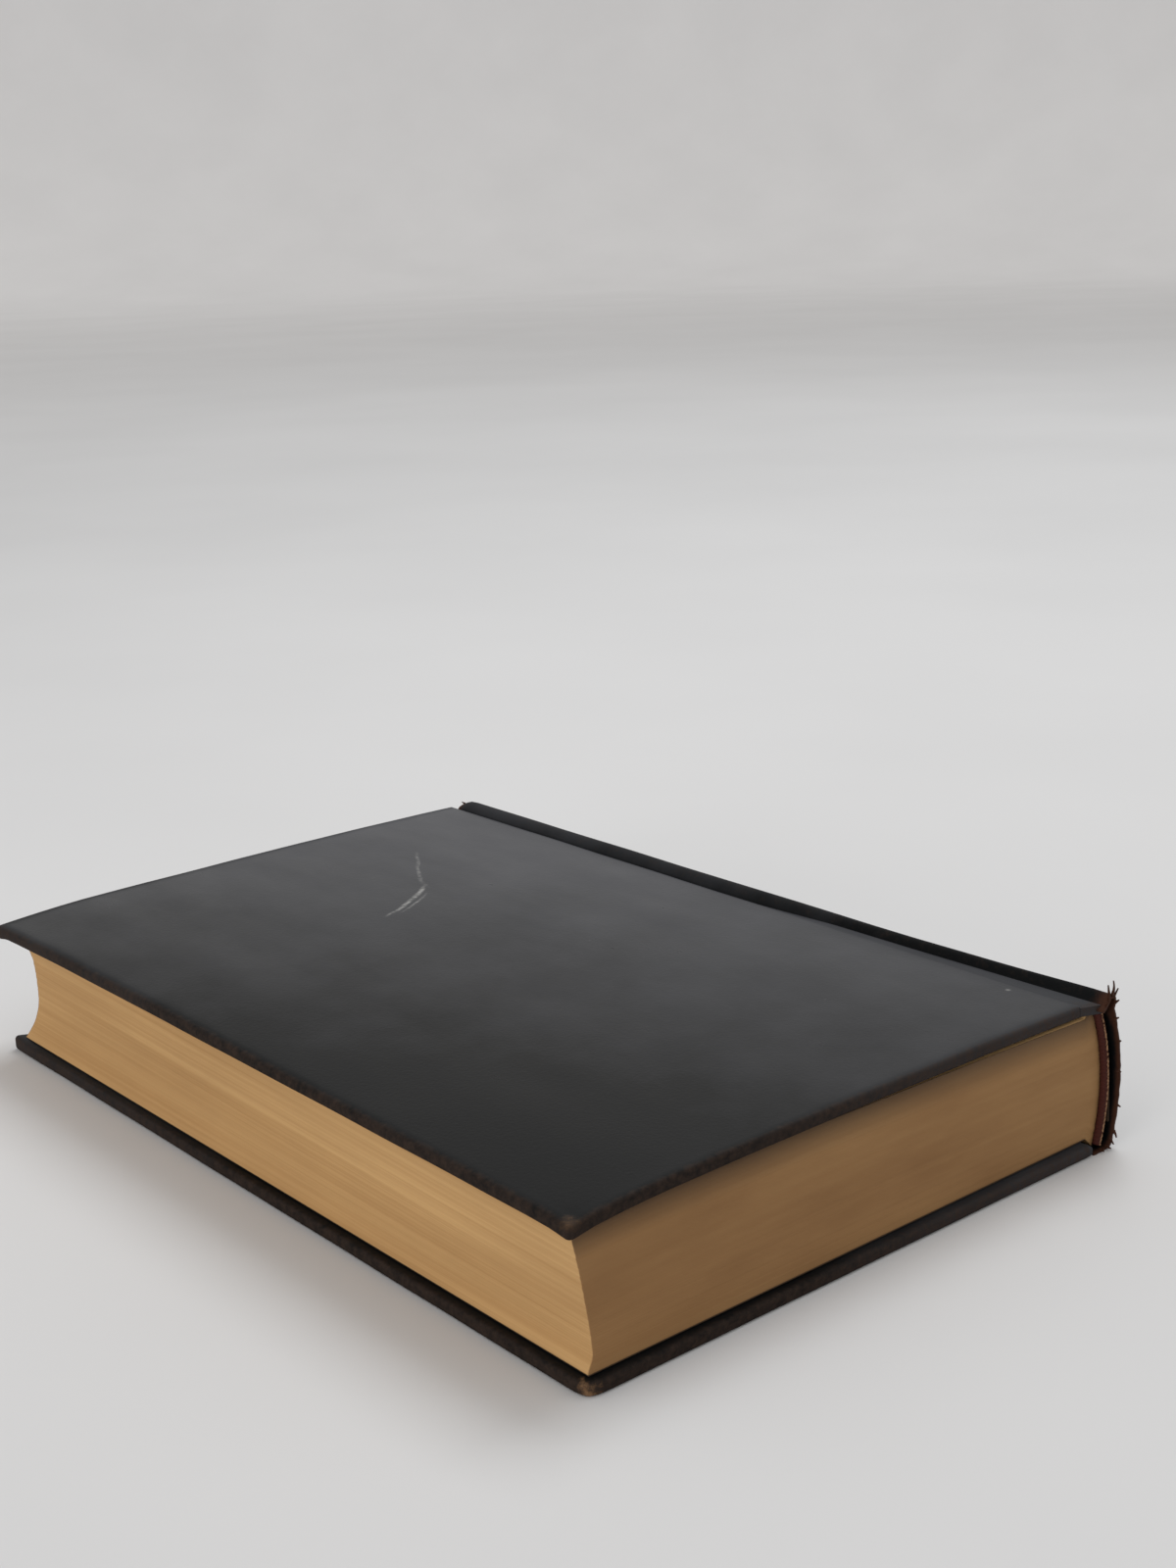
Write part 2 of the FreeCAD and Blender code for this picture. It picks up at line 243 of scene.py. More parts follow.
def worn_spots(tree, place, spots, ragged):
    """One inside worn spots (centre in metres, radius in mm), whose edges noise makes ragged."""
    worn = None
    for centre, radius in spots:
        away = add_node(tree, "VectorMath", {0: place, 1: Vector(centre) / MM},
                        out="Value", operation="DISTANCE")
        edge = add_node(tree, "Math", {0: ragged, 1: radius * 2.8, 2: away},
                        operation="MULTIPLY_ADD")
        spot = add_node(tree, "MapRange", {"Value": edge, "From Min": radius * 2.4,
                                           "From Max": radius * 1.5})
        if worn is None:
            worn = spot
        else:
            worn = add_node(tree, "Math", {0: worn, 1: spot}, operation="MAXIMUM")
    return worn


def scratch_line(tree, place, centre, radius, width, start, end):
    """One on a thin arc about centre, in millimetres, between two places along X, faded out at
    both.

    A negative radius takes the half of the circle nearer the tail.
    """
    half = math.copysign(1, radius)
    flat = add_node(tree, "VectorMath", {0: place, 1: (1, 1, 0)}, operation="MULTIPLY")
    away = add_node(tree, "VectorMath", {0: flat, 1: (centre[0], centre[1], 0)},
                    out="Value", operation="DISTANCE")
    wander = add_node(tree, "TexNoise", {"Vector": place, "Scale": 0.12, "Detail": 3.0})
    away = add_node(tree, "Math", {0: wander, 1: 3.0, 2: away}, operation="MULTIPLY_ADD")
    off = add_node(tree, "Math", {0: away, 1: abs(radius) + 1.5}, operation="SUBTRACT")
    off = add_node(tree, "Math", {0: off}, operation="ABSOLUTE")
    line = add_node(tree, "MapRange", {"Value": off, "From Min": width, "From Max": width * 0.3})
    across = add_node(tree, "SeparateXYZ", {"Vector": place})
    begin = add_node(tree, "MapRange", {"Value": across, "From Min": start, "From Max": start + 4})
    finish = add_node(tree, "MapRange", {"Value": across, "From Min": end, "From Max": end - 4})
    part = add_node(tree, "Math", {0: begin, 1: finish}, operation="MULTIPLY")
    side = add_node(tree, "MapRange", {"Value": across.node.outputs["Y"], "From Min": centre[1],
                                       "From Max": centre[1] + 2 * half})
    part = add_node(tree, "Math", {0: part, 1: side}, operation="MULTIPLY")
    return add_node(tree, "Math", {0: line, 1: part}, operation="MULTIPLY")


def grained_cloth(name, spots, scratches=(), specks=(), sheen_slope=(-0.0036, -0.0015, 0), gloss=0.08,
                  bareness=1.0):
    """Starch-filled bookcloth, embossed with a fine leather grain.

    Black with a low sheen, mottled towards grey by its own uneven tone, and greyed along a given
    slope as a painted sheen, which stands in for the brighter reflection where the cloth is seen
    at a grazing angle. It turns brown and dull where the mesh's layers "rim" and "fray" say that
    it is rubbed or frayed. Bareness is how far the board shows in its worn spots.
    """
    material, tree, place = new_surface(name)
    mottle = add_node(tree, "TexNoise", {"Vector": place, "Scale": 0.035, "Detail": 5.0,
                                         "Roughness": 0.62})
    fine = add_node(tree, "TexNoise", {"Vector": place, "Scale": 0.9, "Detail": 4.0})
    ragged = add_node(tree, "TexNoise", {"Vector": place, "Scale": 0.55, "Detail": 5.0,
                                         "Roughness": 0.7})
    # Real grain is about 0.4 mm across, drawn at 0.7 mm so that the render can hold it
    grain = add_node(tree, "TexVoronoi", {"Vector": place, "Scale": 1.4, "Randomness": 1.0},
                     feature="SMOOTH_F1")
    # Painted sheen: besides its own mottle, the cloth is mixed towards grey along a set slope,
    # standing in for the brighter reflection where it is seen at a grazing angle
    aged = add_node(tree, "VectorMath", {0: place, 1: sheen_slope}, out="Value",
                    operation="DOT_PRODUCT")
    tone_shift = add_node(tree, "Math", {0: mottle, 1: 0.36, 2: aged}, operation="MULTIPLY_ADD")
    tone_shift = add_node(tree, "MapRange", {"Value": tone_shift, "From Min": -0.08, "From Max": 0.48})
    colour = add_node(tree, "Mix", {FACTOR: tone_shift, UNDER: linear("cloth"),
                                    OVER: linear("cloth_grey_and_sheen")}, **COLOUR_MIX)
    if specks:
        speck = worn_spots(tree, place, specks, ragged)
        speck = add_node(tree, "Math", {0: speck, 1: 0.36}, operation="MULTIPLY")
        colour = add_node(tree, "Mix", {FACTOR: speck, UNDER: colour, OVER: linear("scuff")},
                          **COLOUR_MIX)
    rim, fray = (add_node(tree, "Attribute", out="Fac", attribute_name=layer)
                 for layer in ("rim", "fray"))
    rubbed = add_node(tree, "Math", {0: rim, 1: ragged}, operation="MULTIPLY")
    rubbed = add_node(tree, "MapRange", {"Value": rubbed, "From Min": 0.25, "From Max": 0.62,
                                         "To Max": 0.75})
    colour = add_node(tree, "Mix", {FACTOR: rubbed, UNDER: colour, OVER: linear("cloth_rubbed")},
                      **COLOUR_MIX)
    frayed = add_node(tree, "Math", {0: ragged, 1: 0.5, 2: fray}, operation="MULTIPLY_ADD")
    frayed = add_node(tree, "MapRange", {"Value": frayed, "From Min": 0.62, "From Max": 1.05})
    colour = add_node(tree, "Mix", {FACTOR: frayed, UNDER: colour, OVER: linear("spine_worn")},
                      **COLOUR_MIX)
    if spots:
        bare = worn_spots(tree, place, spots, ragged)
        bare = add_node(tree, "Math", {0: bare, 1: bareness}, operation="MULTIPLY")
        dirt = add_node(tree, "MapRange", {"Value": fine, "From Min": 0.42, "From Max": 0.85})
        board = add_node(tree, "Mix", {FACTOR: dirt, UNDER: linear("board"),
                                       OVER: linear("cloth_rubbed")}, **COLOUR_MIX)
        colour = add_node(tree, "Mix", {FACTOR: bare, UNDER: colour, OVER: board}, **COLOUR_MIX)
    for centre, radius, width, start, end, strength in scratches:
        line = scratch_line(tree, place, centre, radius, width, start, end)
        broken = add_node(tree, "MapRange", {"Value": fine, "From Min": 0.3, "From Max": 0.62,
                                             "To Max": strength})
        line = add_node(tree, "Math", {0: line, 1: broken}, operation="MULTIPLY")
        colour = add_node(tree, "Mix", {FACTOR: line, UNDER: colour, OVER: linear("scuff")},
                          **COLOUR_MIX)
    stretched = add_node(tree, "VectorMath", {0: place, 1: (0.09, 0.03, 0.09)},
                         operation="MULTIPLY")
    rubs = add_node(tree, "TexNoise", {"Vector": stretched, "Scale": 1.0, "Detail": 4.0,
                                       "Roughness": 0.6})
    roughness = add_node(tree, "MapRange", {"Value": rubs, "From Min": 0.3, "From Max": 0.7,
                                            "To Min": 0.27, "To Max": 0.36})
    roughness = add_node(tree, "Math", {0: rim, 1: 0.5, 2: roughness}, operation="MULTIPLY_ADD",
                         use_clamp=True)
    height = add_node(tree, "Math", {0: grain, 1: fine}, operation="ADD")
    close_surface(tree, colour, roughness, height, depth=0.05, strength=0.3,
                  Specular_IOR_Level=gloss)
    return material


def page_edges():
    """Trimmed edges of browned, uncoated paper: fine lines, soft stains, dustier ends, painted
    shade under the cover.
    """
    material, tree, place = new_surface("browned page edges")
    leaf, ends = (add_node(tree, "Attribute", out="Fac", attribute_name=layer)
                  for layer in ("leaf", "ends"))
    apart = add_node(tree, "SeparateXYZ", {"Vector": place})
    along = apart.node.outputs["Y"]
    # One leaf is about 0.1 mm: the finest lines drawn here are three leaves thick
    layered = add_node(tree, "CombineXYZ", {"X": apart, "Y": along, "Z": leaf})
    lines = add_node(tree, "VectorMath", {0: layered, 1: (0.011, 0.011, 92)}, operation="MULTIPLY")
    fine = add_node(tree, "TexNoise", {"Vector": lines, "Scale": 1.0, "Detail": 3.0,
                                       "Roughness": 0.6})
    groups = add_node(tree, "VectorMath", {0: layered, 1: (0.006, 0.006, 17)},
                      operation="MULTIPLY")
    coarse = add_node(tree, "TexNoise", {"Vector": groups, "Scale": 1.0, "Detail": 2.0})
    spread = add_node(tree, "VectorMath", {0: place, 1: (0.012, 0.012, 0.05)},
                      operation="MULTIPLY")
    stain = add_node(tree, "TexNoise", {"Vector": spread, "Scale": 1.0, "Detail": 4.0,
                                        "Roughness": 0.6})
    both = add_node(tree, "Math", {0: fine, 1: 0.55, 2: coarse}, operation="MULTIPLY_ADD")
    dark = add_node(tree, "MapRange", {"Value": both, "From Min": 1.1, "From Max": 0.42,
                                       "To Max": 0.64})
    low = add_node(tree, "MapRange", {"Value": leaf, "From Min": 1.0, "From Max": 0.0,
                                      "To Max": 0.22})
    tone_shift = add_node(tree, "MapRange", {"Value": apart, "From Min": -70.0, "From Max": 72.0,
                                          "To Min": -0.3, "To Max": 0.05})
    low = add_node(tree, "Math", {0: low, 1: tone_shift}, operation="ADD")
    dark = add_node(tree, "Math", {0: dark, 1: low}, operation="ADD", use_clamp=True)
    colour = add_node(tree, "Mix", {FACTOR: dark, UNDER: linear("page_light"),
                                    OVER: linear("page_dark")}, **COLOUR_MIX)
    soiled = add_node(tree, "MapRange", {"Value": stain, "From Min": 0.4, "From Max": 0.75,
                                         "To Max": 0.25})
    soiled = add_node(tree, "Math", {0: ends, 1: 0.75, 2: soiled}, operation="MULTIPLY_ADD",
                      use_clamp=True)
    colour = add_node(tree, "Mix", {FACTOR: soiled, UNDER: colour, OVER: linear("page_soil")},
                      **COLOUR_MIX)
    # Painted shade: the ends of the first leaves, just under the front cover, are darkened towards
    # the colour of card where the cover shades them
    shade_under_cover = add_node(tree, "MapRange", {"Value": leaf, "From Min": 0.78, "From Max": 1.0,
                                        "To Max": 0.85})
    shade_under_cover = add_node(tree, "Math", {0: shade_under_cover, 1: ends}, operation="MULTIPLY")
    colour = add_node(tree, "Mix", {FACTOR: shade_under_cover, UNDER: colour, OVER: linear("card")},
                      **COLOUR_MIX)
    close_surface(tree, colour, 0.82, fine, depth=0.12, strength=0.5, Specular_IOR_Level=0.25)
    return material


def aged_paper(name):
    """Uncoated endpaper: warm, slightly mottled, with a few age spots; its cut edges are browned
    with age and darkened further as painted shade.
    """
    material, tree, place = new_surface(name)
    mottle = add_node(tree, "TexNoise", {"Vector": place, "Scale": 0.03, "Detail": 5.0})
    fibre = add_node(tree, "TexNoise", {"Vector": place, "Scale": 2.2, "Detail": 3.0})
    spots = add_node(tree, "TexVoronoi", {"Vector": place, "Scale": 0.045, "Randomness": 1.0})
    spot = add_node(tree, "MapRange", {"Value": spots, "From Min": 0.09, "From Max": 0.02,
                                       "To Max": 0.45})
    tone = add_node(tree, "MapRange", {"Value": mottle, "From Min": 0.4, "From Max": 0.75,
                                       "To Max": 0.5})
    colour = add_node(tree, "Mix", {FACTOR: tone, UNDER: linear("endpaper"),
                                    OVER: linear("page_light")}, **COLOUR_MIX)
    colour = add_node(tree, "Mix", {FACTOR: spot, UNDER: colour, OVER: linear("page_dark")},
                      **COLOUR_MIX)
    # The sheet's cut edges: browned with age, and darkened to the colour of card as painted shade
    # where the free leaf's edge lies under the front cover
    edge_browning_and_shade = add_node(tree, "Attribute", out="Fac", attribute_name="edge_browning_and_shade")
    colour = add_node(tree, "Mix", {FACTOR: edge_browning_and_shade, UNDER: colour, OVER: linear("card")},
                      **COLOUR_MIX)
    close_surface(tree, colour, 0.85, fibre, depth=0.04, strength=0.3, Specular_IOR_Level=0.2)
    return material


def wound_thread():
    """Endband: dark red thread wound over a cord, its outer bead rubbed pale."""
    material, tree, place = new_surface("wound endband thread")
    bead = add_node(tree, "Attribute", out="Fac", attribute_name="bead")
    wear = add_node(tree, "TexNoise", {"Vector": place, "Scale": 1.5, "Detail": 3.0})
    strand = add_node(tree, "TexNoise", {"Vector": place, "Scale": 6.0, "Detail": 2.0})
    pale = add_node(tree, "Math", {0: wear, 1: 1.3, 2: bead}, operation="MULTIPLY_ADD")
    pale = add_node(tree, "MapRange", {"Value": pale, "From Min": 1.45, "From Max": 1.78})
    colour = add_node(tree, "Mix", {FACTOR: pale, UNDER: linear("thread"), OVER: linear("bead")},
                      **COLOUR_MIX)
    close_surface(tree, colour, 0.8, strand, depth=0.08, strength=0.5, Specular_IOR_Level=0.2)
    return material


def plain_stock(name, light, dark, grain_mm):
    """Board, card or gauze: two tones of fibre at its real grain size."""
    material, tree, place = new_surface(name)
    grain = add_node(tree, "TexNoise", {"Vector": place, "Scale": 1 / grain_mm, "Detail": 5.0,
                                        "Roughness": 0.7})
    tone = add_node(tree, "MapRange", {"Value": grain, "From Min": 0.35, "From Max": 0.68})
    colour = add_node(tree, "Mix", {FACTOR: tone, UNDER: linear(light), OVER: linear(dark)},
                      **COLOUR_MIX)
    close_surface(tree, colour, 0.88, grain, depth=0.1, strength=0.5, Specular_IOR_Level=0.2)
    return material


# Meshes

def add_piece(name, bm, material, body, replaced=(), sharp=40.0):
    """Turn a mesh into a piece, which rides on a body unless that is None.

    Edges sharper than an angle in degrees are kept.
    """
    bmesh.ops.recalc_face_normals(bm, faces=bm.faces[:])
    mesh = bpy.data.meshes.new(name)
    bm.to_mesh(mesh)
    bm.free()
    mesh.materials.append(material)
    mesh.shade_smooth()
    mesh.set_sharp_from_angle(angle=math.radians(sharp))
    piece = bpy.data.objects.new(name, mesh)
    bpy.context.scene.collection.objects.link(piece)
    if body:
        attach(piece, body)
    if replaced:
        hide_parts(*replaced)
    return piece


def ripple(seed, *where):
    """Smooth noise between -1 and 1 at a place given in millimetres over a wavelength."""
    spot = Vector((list(where) + [0.0, 0.0])[:3])
    return noise.noise(spot + Vector((seed * 17.3, seed * 5.1, seed * 9.7)))


def arc_through(start, end, bulge, steps):
    """Points of an arc from start to end; bulge is its height, positive to the left."""
    a, b = Vector(start), Vector(end)
    if abs(bulge) < 1e-7:
        return [a.lerp(b, step / steps) for step in range(steps)]
    chord = b - a
    radius = chord.length ** 2 / (8 * abs(bulge)) + abs(bulge) / 2
    left = Vector((-chord.y, chord.x)).normalized()
    centre = (a + b) / 2 + left * (bulge - math.copysign(radius, bulge))
    first = math.atan2(a.y - centre.y, a.x - centre.x)
    last = math.atan2(b.y - centre.y, b.x - centre.x)
    turn = last - first
    if bulge > 0 and turn > 0:
        turn -= math.tau
    if bulge < 0 and turn < 0:
        turn += math.tau
    return [centre + radius * Vector((math.cos(first + turn * step / steps),
                                      math.sin(first + turn * step / steps)))
            for step in range(steps)]


# Pages

LEAF_ROWS = 84
LEAF_COLUMNS = 44
SHOULDER_COLUMNS = 12
LENGTH_STEPS = 28
# Share of the leaves, from the back cover, over which the hollow of the fore-edge deepens
HOLLOW_LOW = 0.14


def length_share(step):
    """Even steps from tail to head, with a very short first and last one."""
    ends = {0: 0.0, 1: 0.002, LENGTH_STEPS - 1: 0.998, LENGTH_STEPS: 1.0}
    return ends.get(step, step / LENGTH_STEPS)


def twist(x, leaf, along):
    """How much further the back of the leaves stands out at the head, most at the front."""
    return sizes().back_twist * leaf * along * ramp(x, 20 * MM, -70 * MM) ** 1.3


def press(x, y):
    """How far the front cover, and the leaves under it, are bent down at an end or a corner."""
    size = sizes()
    low, high = COVERS["front"]
    end = (2 * y - low.y - high.y) / (high.y - low.y)
    fore = ramp(x, -40 * MM, 60 * MM)
    sunk = size.end_droop * fore * abs(end) ** 3 * (0.6 if end > 0 else 1.0)
    sunk += size.fore_droop * ramp(x, high.x - 25 * MM, high.x) ** 1.5
    away = (Vector((x, y)) - Vector((high.x, high.y))).length
    return -sunk - size.corner_droop * falloff(away, 4.5 * MM)


def page_point(across, leaf, along):
    """Place in the pages: across from fore-edge to back, leaf from back to front cover.

    Along runs from tail to head. All three go from 0 to 1.
    """
    size = sizes()
    bow = abs(2 * leaf - 1)
    tail = size.fore_hollow * (1 - bow ** 3)
    sunk = leaf / HOLLOW_LOW if leaf < HOLLOW_LOW else (1 - leaf) / (1 - HOLLOW_LOW)
    head = size.head_hollow * math.sin(math.pi / 2 * min(1.0, sunk)) ** 1.3
    tucked = size.upper_tuck * leaf ** 6 * (1 - along)
    fore = PAGES[1].x - tail - tucked - (head - tail) * along
    back = PAGES[0].x + (TIP_X - PAGES[0].x) * bow ** 2
    turn = 1 - SHOULDER_COLUMNS / LEAF_COLUMNS
    if across <= turn:
        x = fore + (SHOULDER_X - fore) * across / turn
        rise = 0.0
    else:
        share = (across - turn) / (1 - turn)
        x = SHOULDER_X + (back - SHOULDER_X) * share
        rise = share ** 1.3
    z = PAGES_LOW + (PAGES_HIGH - PAGES_LOW) * leaf
    if leaf > 0.5:
        z += (PAGES[1].z - PAGES_HIGH) * (2 * leaf - 1) ** 1.6 * rise
    else:
        z -= (PAGES_LOW - PAGES[0].z) * (1 - 2 * leaf) ** 1.6 * rise
    y = lean_at(z) + HALF_PAGE * (2 * along - 1)
    group = ripple(1, leaf * 60, along * 0.4) + 0.6 * ripple(2, leaf * 17, along * 0.8)
    y += twist(x, leaf, along)
    z += press(x, y) * leaf ** 4
    if across < 0.5 / LEAF_COLUMNS:
        x += size.leaf_relief * group * (1 - bow ** 6)
        x += 0.25 * MM * ripple(3, along * 3, leaf * 1.5) * (1 - bow ** 4)
    if along in (0, 1):
        outward = 1 if along else -1
        y += outward * size.leaf_relief * (ripple(4, leaf * 60, across * 2) - 0.9)
    return Vector((x, y, z))


def build_pages():
    """All the leaves as one block: a grid across the tail, drawn out to the head in steps."""
    bm = bmesh.new()
    across = bm.verts.layers.float.new("across")
    leaf = bm.verts.layers.float.new("leaf")
    along = bm.verts.layers.float.new("along")
    ends = bm.verts.layers.float.new("ends")
    bmesh.ops.create_grid(bm, x_segments=LEAF_COLUMNS, y_segments=LEAF_ROWS, size=0.5)
    for vert in bm.verts:
        vert[across] = vert.co.x + 0.5
        vert[leaf] = vert.co.y + 0.5
    cap = bm.faces[:]
    for step in range(1, LENGTH_STEPS + 1):
        made = bmesh.ops.extrude_face_region(bm, geom=cap)["geom"]
        if step > 1:
            bmesh.ops.delete(bm, geom=cap, context="FACES")
        cap = [item for item in made if isinstance(item, bmesh.types.BMFace)]
        for vert in {vert for face in cap for vert in face.verts}:
            vert[along] = length_share(step)
    for vert in bm.verts:
        vert[ends] = 1.0 if vert[along] in (0, 1) else 0.0
        vert.co = page_point(vert[across], vert[leaf], vert[along])
    add_piece("page_block", bm, page_edges(), "book_block", ["text_block"], sharp=50)


# Covers

# A cover is cut across and along at about this spacing, and at these places in from its edges,
# in millimetres, so that it can be uneven
CUT_SPACING = 6 * MM
EDGE_CUTS = (1.5, 2.6, 4.0)
# The pulp board shows only where a cover is cut open, so it stays clear of the cloth's faces
BOARD_INSET = 0.4 * MM
# A cover's edges are uneven by this much
EDGE_WAVE = 0.16 * MM


def cover_warp(x, y):
    """How far the front cover is off its level plane: bowed up in the middle, bent at its ends."""
    low, high = COVERS["front"]
    off = (2 * x - low.x - high.x) / (high.x - low.x)
    return sizes().cover_bow * (1 - off * off) + press(x, y)


def cut_places(start, end):
    """Places to cut a cover between two edges: evenly, and again close to both edges."""
    count = int((end - start) / CUT_SPACING)
    places = [start + (end - start) * step / count for step in range(1, count)]
    return places + [edge + inward * away * MM for edge, inward in ((start, 1), (end, -1))
                     for away in EDGE_CUTS]


def cover_mesh(side, inset):
    """A board's outline with bumped corners, a rounded rim and uneven faces and edges.

    It stays the inset inside the cover's box. Every piece of cloth has the layers "rim", rubbed
    edges, and "fray", worn ends of the spine, because the one cloth material reads both.
    """
    size = sizes()
    low, high = COVERS[side]
    low, high = low + Vector((inset,) * 3), high - Vector((inset,) * 3)
    bm = bmesh.new()
    rim = bm.verts.layers.float.new("rim")
    bm.verts.layers.float.new("fray")
    bmesh.ops.create_cube(bm, size=1)
    bmesh.ops.scale(bm, vec=high - low, verts=bm.verts)
    bmesh.ops.translate(bm, vec=(low + high) / 2, verts=bm.verts)
    fore = [edge for edge in bm.edges
            if all(abs(vert.co.x - high.x) < MM / 100 for vert in edge.verts)
            and abs(edge.verts[0].co.z - edge.verts[1].co.z) > MM]
    bmesh.ops.bevel(bm, geom=fore, offset=size.corner_round - inset, offset_type="OFFSET",
                    affect="EDGES", segments=6, profile=0.5, material=-1)
    flat = [edge for edge in bm.edges if abs(edge.verts[0].co.z - edge.verts[1].co.z) < MM / 100]
    bmesh.ops.bevel(bm, geom=flat, offset=size.rim_round, offset_type="OFFSET",
                    affect="EDGES", segments=4, profile=0.5, material=-1)
    cuts = [(Vector((1, 0, 0)), low.x, high.x), (Vector((0, 1, 0)), low.y, high.y)]
    for normal, start, end in cuts:
        for place in cut_places(start, end):
            bmesh.ops.bisect_plane(bm, geom=bm.verts[:] + bm.edges[:] + bm.faces[:],
                                   plane_co=normal * place, plane_no=normal, dist=MM / 1000)
    if side == "back":
        for vert in bm.verts:
            away = Vector((vert.co.x - high.x, vert.co.y - high.y)).length
            bumped = size.bumped_corner * falloff(away, 2.5 * MM)
            vert.co.x -= bumped
            vert.co.y -= bumped
    outer = high.z if side == "front" else low.z
    inner = low.z if side == "front" else high.z
    for vert in bm.verts:
        x, y, z = vert.co
        near = min(high.x - x, high.y - y, y - low.y)
        vert[rim] = ramp(near, 3 * MM, 0.0) if x > low.x + MM else 0.45
        share = (z - inner) / (outer - inner)
        away = Vector((high.x - x, y - low.y)).length
        folds = size.corner_folds * (1 - share) * falloff(away, 4 * MM)
        vert.co.z += math.copysign(folds, inner - outer)
        lift = size.board_swell * share * (ripple(5, x / MM / 55, y / MM / 55)
                                           + 0.5 * ripple(6, x / MM / 21, y / MM / 21))
        if side == "front":
            vert.co.z += lift + cover_warp(x, y)
        wave = EDGE_WAVE * falloff(near, 2 * MM)
        vert.co.x += wave * ripple(7, y / MM / 23, x / MM / 23) * (x > 0)
        vert.co.y += wave * ripple(8, x / MM / 23, y / MM / 60)
    return bm


# Scratches: centre and radius of an arc, line width, its two ends along X, strength
FRONT_SCRATCHES = (((27.5, -102.7), 62.0, 0.8, -17.5, 6.5, 0.6),
                   ((27.5, -102.7), 63.9, 0.45, -13.0, 3.0, 0.4),
                   ((-112.9, -16.1), -105.5, 0.75, -33.0, -15.0, 0.3))
# Specks: place along X and Y, radius
FRONT_SPECKS = ((28.7, -41.9, 0.5), (-18.4, 5.5, 0.6), (-30.1, 71.9, 0.45), (-63.7, 95.2, 0.7),
                (74.6, 104.5, 0.7))


def build_cover(side):
    """One covered board, and the pulp board inside its cloth."""
    low, high = COVERS[side]
    middle = (low.z + high.z) / 2
    # The cloth is worn through at the two corners of the fore-edge, the head's first
    spots = [((high.x - 0.5 * MM, high.y - 0.5 * MM, low.z + 0.8 * MM), 3.2),
             ((high.x, low.y, middle), 1.1)]
    scratches, specks = [], []
    if side == "front":
        spots[0] = ((high.x - 1.2 * MM, high.y - 1.2 * MM, high.z - 1.2 * MM), 2.3)
        scratches = FRONT_SCRATCHES
        specks = [((x * MM, y * MM, high.z), radius) for x, y, radius in FRONT_SPECKS]
    cloth = grained_cloth(side + " cover cloth", spots, scratches, specks,
                          bareness=0.3 if side == "front" else 0.9)
    add_piece(side + "_cover", cover_mesh(side, 0.0), cloth, side + "_cover",
              [side + "_cover_cloth"])
    board = plain_stock(side + " pulp board", "board", "cloth_rubbed", 0.8)
    add_piece(side + "_board_core", cover_mesh(side, BOARD_INSET), board, side + "_cover",
              [side + "_board"])


# Spine

SPINE_STEPS = 46
# Slope along which the spine's cloth greys, mostly towards the tail: a painted sheen, as on the
# covers
SPINE_SHEEN_SLOPE = (0.0025, -0.0014, 0)
SPINE_GLOSS = 0.04
# The line of its cloth runs from the front groove, below the cover's face, over the crest of the
# ridge, round the spine and along the underside, which starts at UNDERSIDE_X
GROOVE_DEPTH = 1.0 * MM
CREST_X = TIP_X - 1.4 * MM
UNDERSIDE_X = TIP_X - 2.4 * MM
# The round spine starts and ends at a turn: how far in from the spine's outermost line, and how
# far below the front cover's face or above the table
UPPER_TURN = (2.8 * MM, 1.8 * MM)
LOWER_TURN = (1.8 * MM, 2.6 * MM)
# How far the arcs of the turns and of the round spine bulge out from straight
TURN_BULGE = 0.75 * MM
SPINE_CROWN = 2.3 * MM
# How far the front joint has crept towards the spine at its head
GROOVE_SHIFT = 2.4 * MM
# The spine's tail end lies this much further in at the crest than on the table
TAIL_SLANT = 1.75 * MM
# Wear of its two ends: the crest rises and squares up towards the head, and is rubbed down at
# the tail over a short length
HEAD_RISE = 0.3 * MM
HEAD_SQUARING = 1.8 * MM
TAIL_WEAR = 1.3 * MM
TAIL_WEAR_LENGTH = 4.5 * MM


def filled(along):
    """How far the front joint is filled with cloth: not at its tail half, wholly at its head."""
    return ramp(along, 0.35, 1.0) ** 1.5


def spine_outline():
    """Outer line of the spine's cloth across the book, from the front groove to the back joint."""
    front = COVERS["front"][1].z
    groove = Vector((SPINE[1].x, front - GROOVE_DEPTH))
    crest = Vector((CREST_X, SPINE[1].z))
    upper = Vector((SPINE[0].x + UPPER_TURN[0], front - UPPER_TURN[1]))
    lower = Vector((SPINE[0].x + LOWER_TURN[0], LOWER_TURN[1]))
    under = Vector((UNDERSIDE_X, 0.0))
    joint = Vector((SPINE[1].x, 0.0))
    tuck = groove + Vector((0.35, -0.7)) * MM
    corners = (tuck, groove, crest, upper, lower, under, joint)
    bulges = (0.15 * MM, TURN_BULGE, TURN_BULGE, SPINE_CROWN, TURN_BULGE, 0.0)
    steps = (3, 7, 7, 26, 6, 5)
    points = []
    for start, end, bulge, count in zip(corners, corners[1:], bulges, steps):
        points += arc_through(start, end, -bulge, count)
    return points + [joint]


def spine_ends(z):
    """Where the spine's cloth ends at the tail and at the head, at this height."""
    return SPINE[0].y + TAIL_SLANT * z / SPINE[1].z, SPINE[1].y


def draw_out(bm, outline, steps):
    """Draw an open line of points across the book out along its length.

    Returns the layer "along", in which each vertex keeps its share of the way from tail to head.
    """
    along = bm.verts.layers.float.new("along")
    verts = [bm.verts.new((point.x, 0.0, point.y)) for point in outline]
    row = [bm.edges.new(pair) for pair in zip(verts, verts[1:])]
    for step in range(1, steps + 1):
        made = bmesh.ops.extrude_edge_only(bm, edges=row)["geom"]
        row = [item for item in made if isinstance(item, bmesh.types.BMEdge)]
        for vert in {vert for edge in row for vert in edge.verts}:
            vert[along] = step / steps
    return along


